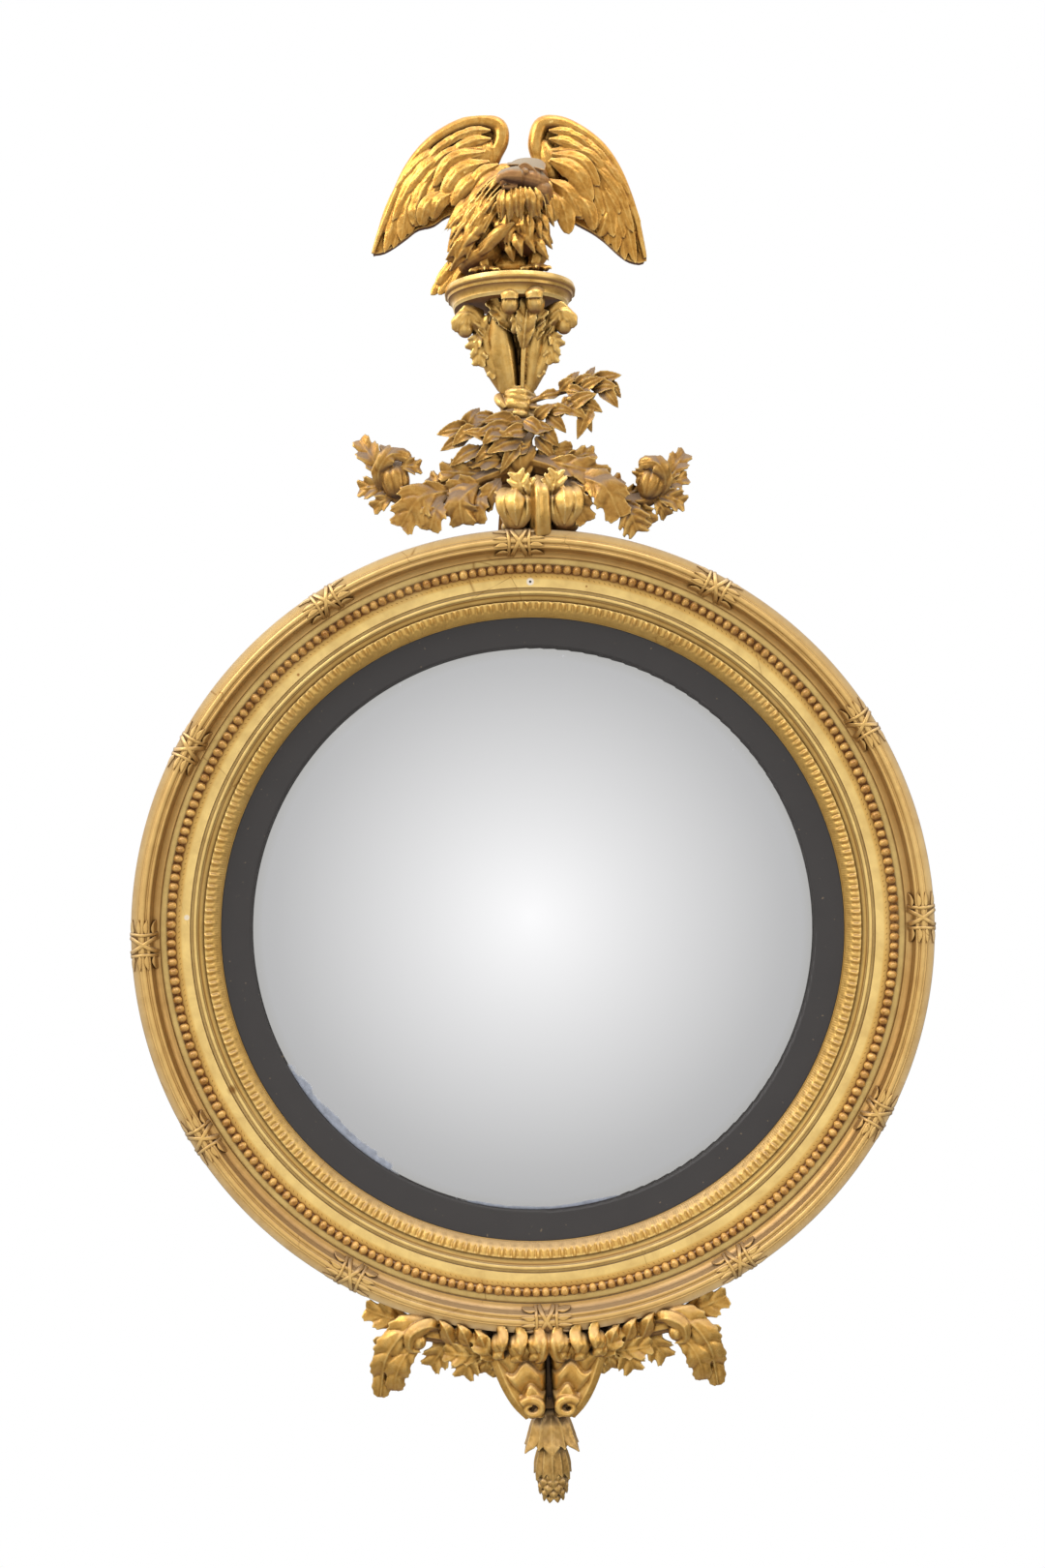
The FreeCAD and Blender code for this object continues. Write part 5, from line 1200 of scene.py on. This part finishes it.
def leg_forms(x, lean):
    """A feathered shank and four toes with claws, standing on the shelf."""
    forms = [tube([at(x - lean, 58, 612), at(x, 60, 602), at(x, 62, 594.5)], [9, 7, 5.5], sides=18, rows=16,
                  flutes=6, flute=0.08)]
    for dx, dd, size in ((-10, 10, 3.4), (0, 14, 3.6), (10, 10, 3.4), (2, -12, 3.2)):
        forms.append(tube([at(x, 60, 595), at(x + dx * 0.6, 60 + dd * 0.6, 596), at(x + dx, 60 + dd, 593.6)],
                          [size + 0.8, size, size * 0.8], sides=12, rows=14))
        forms.append(tube([at(x + dx, 60 + dd, 594.6), at(x + dx * 1.25, 60 + dd * 1.25, 594.2),
                           at(x + dx * 1.4, 60 + dd * 1.4, 592)], [2.4, 1.7, 0.5], sides=10, rows=10))
    return forms


# ---------------------------------------------------------------- apron
def apron_acanthus_forms():
    """The left branch: a leaf that arches out under the rim and droops, with ruffled lobes along it."""
    forms = [tube([at(-34, 30, -392), at(-50, 36, -378), at(-72, 40, -368), at(-98, 42, -362),
                   at(-118, 44, -360), at(-134, 44, -370), at(-146, 42, -392)], [12, 12, 11, 10, 9.5, 8, 4],
                  flutes=5, flute=0.12, flat=0.95),
             frond([at(-86, 44, -362), at(-108, 56, -351), at(-130, 60, -358), at(-146, 56, -380),
                    at(-151, 46, -402), at(-154, 40, -421)], 16, 5, cup=-0.55, thick=6, ridge=3.0,
                   notch=0.22, curl=2, rib=1.6),
             frond([at(-112, 52, -364), at(-130, 58, -380), at(-138, 54, -398), at(-140, 46, -414)], 13, 3,
                   cup=-0.3, thick=4, ridge=2.4, notch=0.3),
             petal([at(-92, 46, -360), at(-106, 62, -352), at(-122, 66, -358), at(-124, 62, -372),
                    at(-114, 58, -376)], 6.5, leaf_shape, cup=-0.5, thick=5, rib=1.0, cols=13),
             ball(at(-116, 56, -366), (7, 8, 7.5), flutes=6, flute=0.05),
             leaf((-118, -360), (-166, -344), 15, (30, 26), 3, 3),
             leaf((-126, -364), (-158, -378), 10, (30, 26), 2, 3),
             leaf((-84, -364), (-108, -396), 15, (36, 34), 3, 4),
             leaf((-66, -370), (-78, -406), 15, (36, 34), 3, 4),
             leaf((-52, -380), (-58, -404), 11, (36, 34), 2, 4),
             leaf((-44, -386), (-46, -408), 8, (36, 34), 2, 3)]
    for x, z, size, turn in ((-60, -368, 8.5, 25), (-76, -362, 9, 15), (-92, -358, 7.5, 5)):
        forms += [ball(at(x, 50, z), (size * 0.8, 8, size * 1.35), tilt=turn),
                  petal([at(x + 8, 44, z - 20), at(x + 4, 55, z - 8), at(x, 61, z + 4),
                         at(x - 6, 55, z + 11)], 7, leaf_shape, cup=-0.5, thick=5, rib=1.2)]
    forms += [leaf((-58, -384), (-94, -380), 12, (44, 48), 3, 5),
              leaf((-46, -390), (-66, -362), 11, (48, 54), 3, 6)]
    return forms


def apron_roll_forms():
    """The row of rolled leaf ends under the rim, with drapery below, either side of a split stem."""
    forms = [tube([at(-50, 40, -370), at(0, 44, -374), at(50, 40, -370)], [10, 13, 10], flat=0.9)]
    for x, z, size in ((-28, -374, 9.4), (-11.5, -373, 8.6), (13.5, -373, 8.6), (30, -374, 9.4),
                       (-44, -371, 8), (46, -371, 8)):
        lean = math.copysign(3, x)
        forms += [ball(at(x, 55, z), (size, 10, size * 1.1), tilt=-lean * 4, flutes=4, flute=0.03),
                  petal([at(x + lean, 46, z + 9), at(x, 60, z + 10), at(x - lean, 67, z + 3),
                         at(x - lean, 66, z - 5)], size * 0.95, leaf_shape, facing=FRONT, cup=-0.45,
                        thick=3.4, rib=0.5),
                  petal([at(x - 4, 58, z - 3), at(x, 63, z - 9), at(x + 5, 58, z - 14)], size * 0.75,
                        leaf_shape, cup=-0.45, thick=4, rib=0.6),
                  petal([at(x + 4, 56, z - 1), at(x + lean, 60, z - 10), at(x - 3, 56, z - 15)], size * 0.5,
                        leaf_shape, cup=-0.45, thick=4, rib=0.6)]
    for sign in (-1, 1):
        forms.append(tube([at(1 + sign * 4.6, 52, -364), at(1 + sign * 4.2, 62, -371),
                           at(1 + sign * 7, 60, -384), at(1 + sign * 13, 54, -389)], [5, 5.2, 4.2, 2.4],
                          sides=20, flutes=4, flute=0.1))
    return forms


def volute_forms():
    """The left bracket: a solid block of rolling folds that narrows to a scroll with a hollow eye."""
    rows, cols = 110, 33
    u = np.linspace(-1, 1, cols)
    rings = []
    for s in np.linspace(0, 1, rows):
        z = -374 - 64 * s
        outer = -53 + 32 * s ** 1.1
        inner = -1.4 - 3.0 * s ** 3
        across = (outer + inner) / 2 + (inner - outer) / 2 * u
        crown = 38 + 16 * np.clip(1 - np.abs(u) ** 3.4, 0, 1) ** 0.5 + 3 * s
        phase = (s * 3.3 + 0.16 * np.sin(1.5 * np.pi * u + 0.9) + 0.05 * u) % 1.0
        fold = 5.4 * np.sin(np.pi * phase ** 0.62) ** 0.8 + 0.7 * np.sin(2 * np.pi * (2 * s + 0.9 * u))
        level = z + 3.0 * np.sin(1.3 * np.pi * u + 1.0) * (1 - 0.6 * s)
        top = np.stack([across, -(crown + fold), level], 1)
        low = np.stack([across, np.full(cols, -20.0), np.full(cols, z)], 1)
        rings.append(np.vstack([top, low[::-1]]))
    forms = [loft(rings),
             petal([at(-52, 40, -362), at(-47, 51, -384), at(-39, 56, -406), at(-29, 58, -424),
                    at(-17, 56, -438)], 6.5, band_shape, cup=-0.5, thick=8, rib=0.8, rows=40, cols=13)]
    turn = np.linspace(0.0, 2.35 * np.pi, 18)
    eye = [at(-16 + (11 - 1.0 * t) * math.cos(2.6 - t), 61, -429 + (8.6 - 0.75 * t) * math.sin(2.6 - t))
           for t in turn]
    forms += [tube(eye, [3.6, 4.2, 3.6, 2.8, 1.8], sides=12, rows=70),
              tube([at(-16, 36, -429), at(-16, 59, -429)], [11, 8.5])]
    return forms


def husk_leaf_shape(s):
    return np.sin(np.pi * np.clip(0.14 + 0.82 * s, 0,
                                  1)) ** 0.6 * np.where(s > 0.82, 1.0 - 4.0 * (s - 0.82), 1.0)


def husk_ring(count, radius, top, drop, spread, depth, half, turn=0.0, squash=0.7):
    """A ring of husk leaves that hang and flare round the pendant's middle line."""
    forms = []
    for k in range(count):
        angle = 2 * math.pi * (k + turn) / count
        dx, dd = math.sin(angle), math.cos(angle)
        facing = np.array([dx, -dd, 0.0])
        steps = ((0.3, 0.0), (0.78, 0.25), (1.0, 0.62), (1.0 + spread / radius, 1.0))
        path = [at(0.5 + dx * radius * out, depth + dd * radius * out * squash, top - drop * fall)
                for out, fall in steps]
        forms.append(petal(path, half, husk_leaf_shape, facing=facing, cup=-0.32, thick=3.6, rib=1.6,
                           grooves=0.1, cols=13))
    return forms


def husk_upper_forms():
    forms = [ball(at(0.5, 38, -443), (10, 10, 8)), ball(at(0.5, 38, -452), (15, 14, 11))]
    forms += husk_ring(6, 20, -438, 31, 5, 38, 8.5, turn=0.5, squash=0.86)
    return forms + husk_ring(6, 22, -438, 35, 7, 38, 10.0, squash=0.86)


def husk_lower_forms():
    forms = [ball(at(0.5, 40, -476), (13, 12, 11))]
    forms += husk_ring(6, 15.5, -466, 29, 2, 40, 7.5, turn=0.5, squash=0.88)
    return forms + husk_ring(6, 16, -466, 33, 2, 40, 7.5, squash=0.88)


def cone_forms():
    """The pine cone: plump scales in crossing spirals."""
    forms = [ball(at(0.5, 40, -501), (12.5, 12.5, 17))]
    for row in range(6):
        z = -489 - row * 5.2
        ring = 12.8 * math.sqrt(max(0.02, 1 - ((z + 501) / 19.0) ** 2))
        for k in range(8):
            angle = 2 * math.pi * (k + 0.5 * (row % 2)) / 8
            dx, dd = math.sin(angle), math.cos(angle)
            facing = np.array([dx, -dd, -0.2])
            path = [at(0.5 + dx * (ring + out), 40 + dd * (ring + out), z + rise)
                    for out, rise in ((-1.6, 4.5), (1.8, 0.5), (1.4, -4.6))]
            forms.append(petal(path, 4.8 * ring / 13 + 0.6,
                               lambda s: np.sin(np.pi * np.clip(0.1 + 0.85 * s, 0, 1)), facing=facing,
                               cup=-0.35, thick=2.6, rib=0.6, rows=12, cols=9))
    forms.append(ball(at(0.5, 40, -516.8), (2.8, 2.8, 3.0)))
    return forms


# ---------------------------------------------------------------- carved pieces
ring = solid("frame_ring", [turned_ring()], FRAME)
ring.data.set_sharp_from_angle(angle=math.radians(24))
solid("pearl_row", pearls() + twist_strip(), PEARL)
solid("leaf_tip_moulding", leaf_tips(), FRAME)
solid("ribbon_ties", ties(), FRAME)
solid("convex_glass", glass_cap(), GLASS)

boss_left, boss_right, boss_stem = boss_forms()
apron_left = apron_acanthus_forms()
volute_left = volute_forms()
CARVINGS = [(CREST, "gilt_carving",
             {"capital_stalk": stalk_forms(), "ball_leaf_left": ball_leaf_forms(-1),
              "ball_leaf_right": ball_leaf_forms(1), "curl_leaf_left": curl_leaf_forms(-1),
              "curl_leaf_right": curl_leaf_forms(1), "crest_knot": knot_forms()}),
            (FOLIAGE, "gilt_foliage",
             {"laurel_left": laurel_left_forms(), "laurel_right": laurel_right_forms(),
              "acanthus_left": acanthus_left_forms(), "acanthus_right": acanthus_right_forms()}),
            (CREST, "gilt_foliage",
             {"boss_scroll_left": boss_left, "boss_scroll_right": boss_right, "boss_stem": boss_stem}),
            (EAGLE, "gilt_eagle", {"eagle_body": body_forms()}),
            (EAGLE_HEAD, "gilt_eagle", {"eagle_head": head_forms()}),
            (EAGLE, "gilt_eagle",
             {"eagle_wing_left": wing_forms(*WING_LEFT), "eagle_wing_right": wing_forms(*WING_RIGHT),
              "eagle_tail": tail_forms(), "eagle_leg_left": leg_forms(-22, 4),
              "eagle_leg_right": leg_forms(24, -4)}),
            (APRON, "gilt_carving",
             {"apron_rolls": apron_roll_forms(), "apron_volute_left": volute_left,
              "apron_volute_right": mirrored(volute_left), "apron_acanthus_left": apron_left,
              "apron_acanthus_right": mirrored(apron_left)}),
            (CONE, "gilt_carving",
             {"husk_upper": husk_upper_forms(), "husk_lower": husk_lower_forms(),
              "pine_cone": cone_forms()})]
FINE_GRAIN, COARSE_GRAIN = 0.62, 0.8
for finish, piece_slot, pieces in CARVINGS:
    for piece_name, piece_forms in pieces.items():
        delicate = piece_name.startswith(("husk", "pine", "eagle_wing", "eagle_head"))
        carve(piece_name, piece_forms, finish, FINE_GRAIN if delicate else COARSE_GRAIN)


# ---------------------------------------------------------------- camera, floor and light
def studio():
    """White surroundings: soft light in front, for the glass, and a bright sky over a dim ground."""
    world = bpy.data.worlds.new("studio")
    bpy.context.scene.world = world
    world.use_nodes = True
    tree = world.node_tree
    tree.nodes.clear()
    ray = put(tree, "TexCoord").outputs["Generated"]
    ahead = put(tree, "VectorMath", {"operation": "DOT_PRODUCT"}, i0=ray,
                i1=(0.0, -0.9993, -0.038)).outputs["Value"]
    angle = times(tree, put(tree, "Math", {"operation": "ARCCOSINE"}, i0=ahead).outputs[0], 1 / math.pi)
    fall = ramp(tree, angle, [(0.0, 0.545), (0.083, 0.445), (0.167, 0.35), (0.218, 0.29), (0.247, 0.265)])
    parts = put(tree, "SeparateXYZ", Vector=ray)
    lift = plus(tree, times(tree, parts.outputs["Z"], 0.46),
                plus(tree, times(tree, parts.outputs["X"], -0.12), 0.5))
    around = ramp(tree, lift, [(0.0, 0.06), (0.4, 0.14), (0.55, 0.32), (0.75, 0.8), (1.0, 1.0)])
    level = mix(tree, ramp(tree, angle, [(0.262, 0.0), (0.33, 1.0)]), fall, around)
    level = mix(tree, 1.0, level, (2.0, 2.0, 2.0, 1.0), "MULTIPLY")
    seen = put(tree, "LightPath").outputs["Is Camera Ray"]
    sky = mix(tree, seen, level, (1.0, 1.0, 1.0, 1.0))
    glow = put(tree, "Background", Color=sky, Strength=1.0)
    out = put(tree, "OutputWorld")
    tree.links.new(glow.outputs[0], out.inputs["Surface"])


def soft_lamp(name, place, target, size, power):
    lamp = bpy.data.lights.new(name, "AREA")
    lamp.shape = "RECTANGLE"
    lamp.size = size[0]
    lamp.size_y = size[1]
    lamp.energy = power
    holder = bpy.data.objects.new(name, lamp)
    holder.location = place
    holder.rotation_euler = (Vector(target) - Vector(place)).to_track_quat("-Z", "Y").to_euler()
    holder.visible_camera = False
    bpy.context.scene.collection.objects.link(holder)


def floor(gap=0.12, reach=3.0):
    """A pale floor a gap below the frame, which neither the camera nor the gilding sees."""
    level = cad_low.z - gap
    mesh = bpy.data.meshes.new("studio_floor")
    corners = [(-reach, -reach, level), (reach, -reach, level), (reach, reach, level), (-reach, reach, level)]
    mesh.from_pydata(corners, [], [(0, 1, 2, 3)])
    material, tree = new_material("pale_floor")
    rays = put(tree, "LightPath")
    through = calc(tree, "MAXIMUM", rays.outputs["Is Camera Ray"], rays.outputs["Is Glossy Ray"], clamp=True)
    matt = put(tree, "BsdfDiffuse", Color=(0.8, 0.8, 0.8, 1.0))
    clear = put(tree, "BsdfTransparent")
    both = put(tree, "MixShader", Fac=through)
    tree.links.new(matt.outputs[0], both.inputs[1])
    tree.links.new(clear.outputs[0], both.inputs[2])
    out = put(tree, "OutputMaterial")
    tree.links.new(both.outputs[0], out.inputs["Surface"])
    mesh.materials.append(material)
    plane = bpy.data.objects.new("studio_floor", mesh)
    bpy.context.scene.collection.objects.link(plane)


def camera():
    """Square to the wall, a little left of the middle, rolled so that the crest leans as in the picture."""
    distance, across, height, roll = 1.700, -0.0046, 0.1334, math.radians(2.05)
    picture_height, focal = 1620.0, 1880.7
    data = bpy.data.cameras.new("camera")
    data.sensor_fit = "VERTICAL"
    data.sensor_height = 36.0
    data.lens = data.sensor_height * focal / picture_height
    data.clip_start = 0.05
    data.clip_end = 50
    holder = bpy.data.objects.new("camera", data)
    c, s = math.cos(roll), math.sin(roll)
    turn = Matrix(((c, s, 0), (0, 0, -1), (-s, c, 0)))
    holder.matrix_world = Matrix.Translation((across, -distance, height)) @ turn.to_4x4()
    bpy.context.scene.collection.objects.link(holder)
    bpy.context.scene.camera = holder


studio()
floor()
camera()
soft_lamp("key", (-2.2, -1.9, 2.6), (0, 0, 0.1), (1.7, 1.7), 44)
soft_lamp("top", (0.7, -1.1, 2.9), (0, 0, 0.2), (1.4, 1.4), 18)
soft_lamp("fill", (2.7, -1.5, 0.5), (0, 0, 0.1), (1.2, 1.8), 10)
bpy.context.scene.view_settings.view_transform = "Standard"
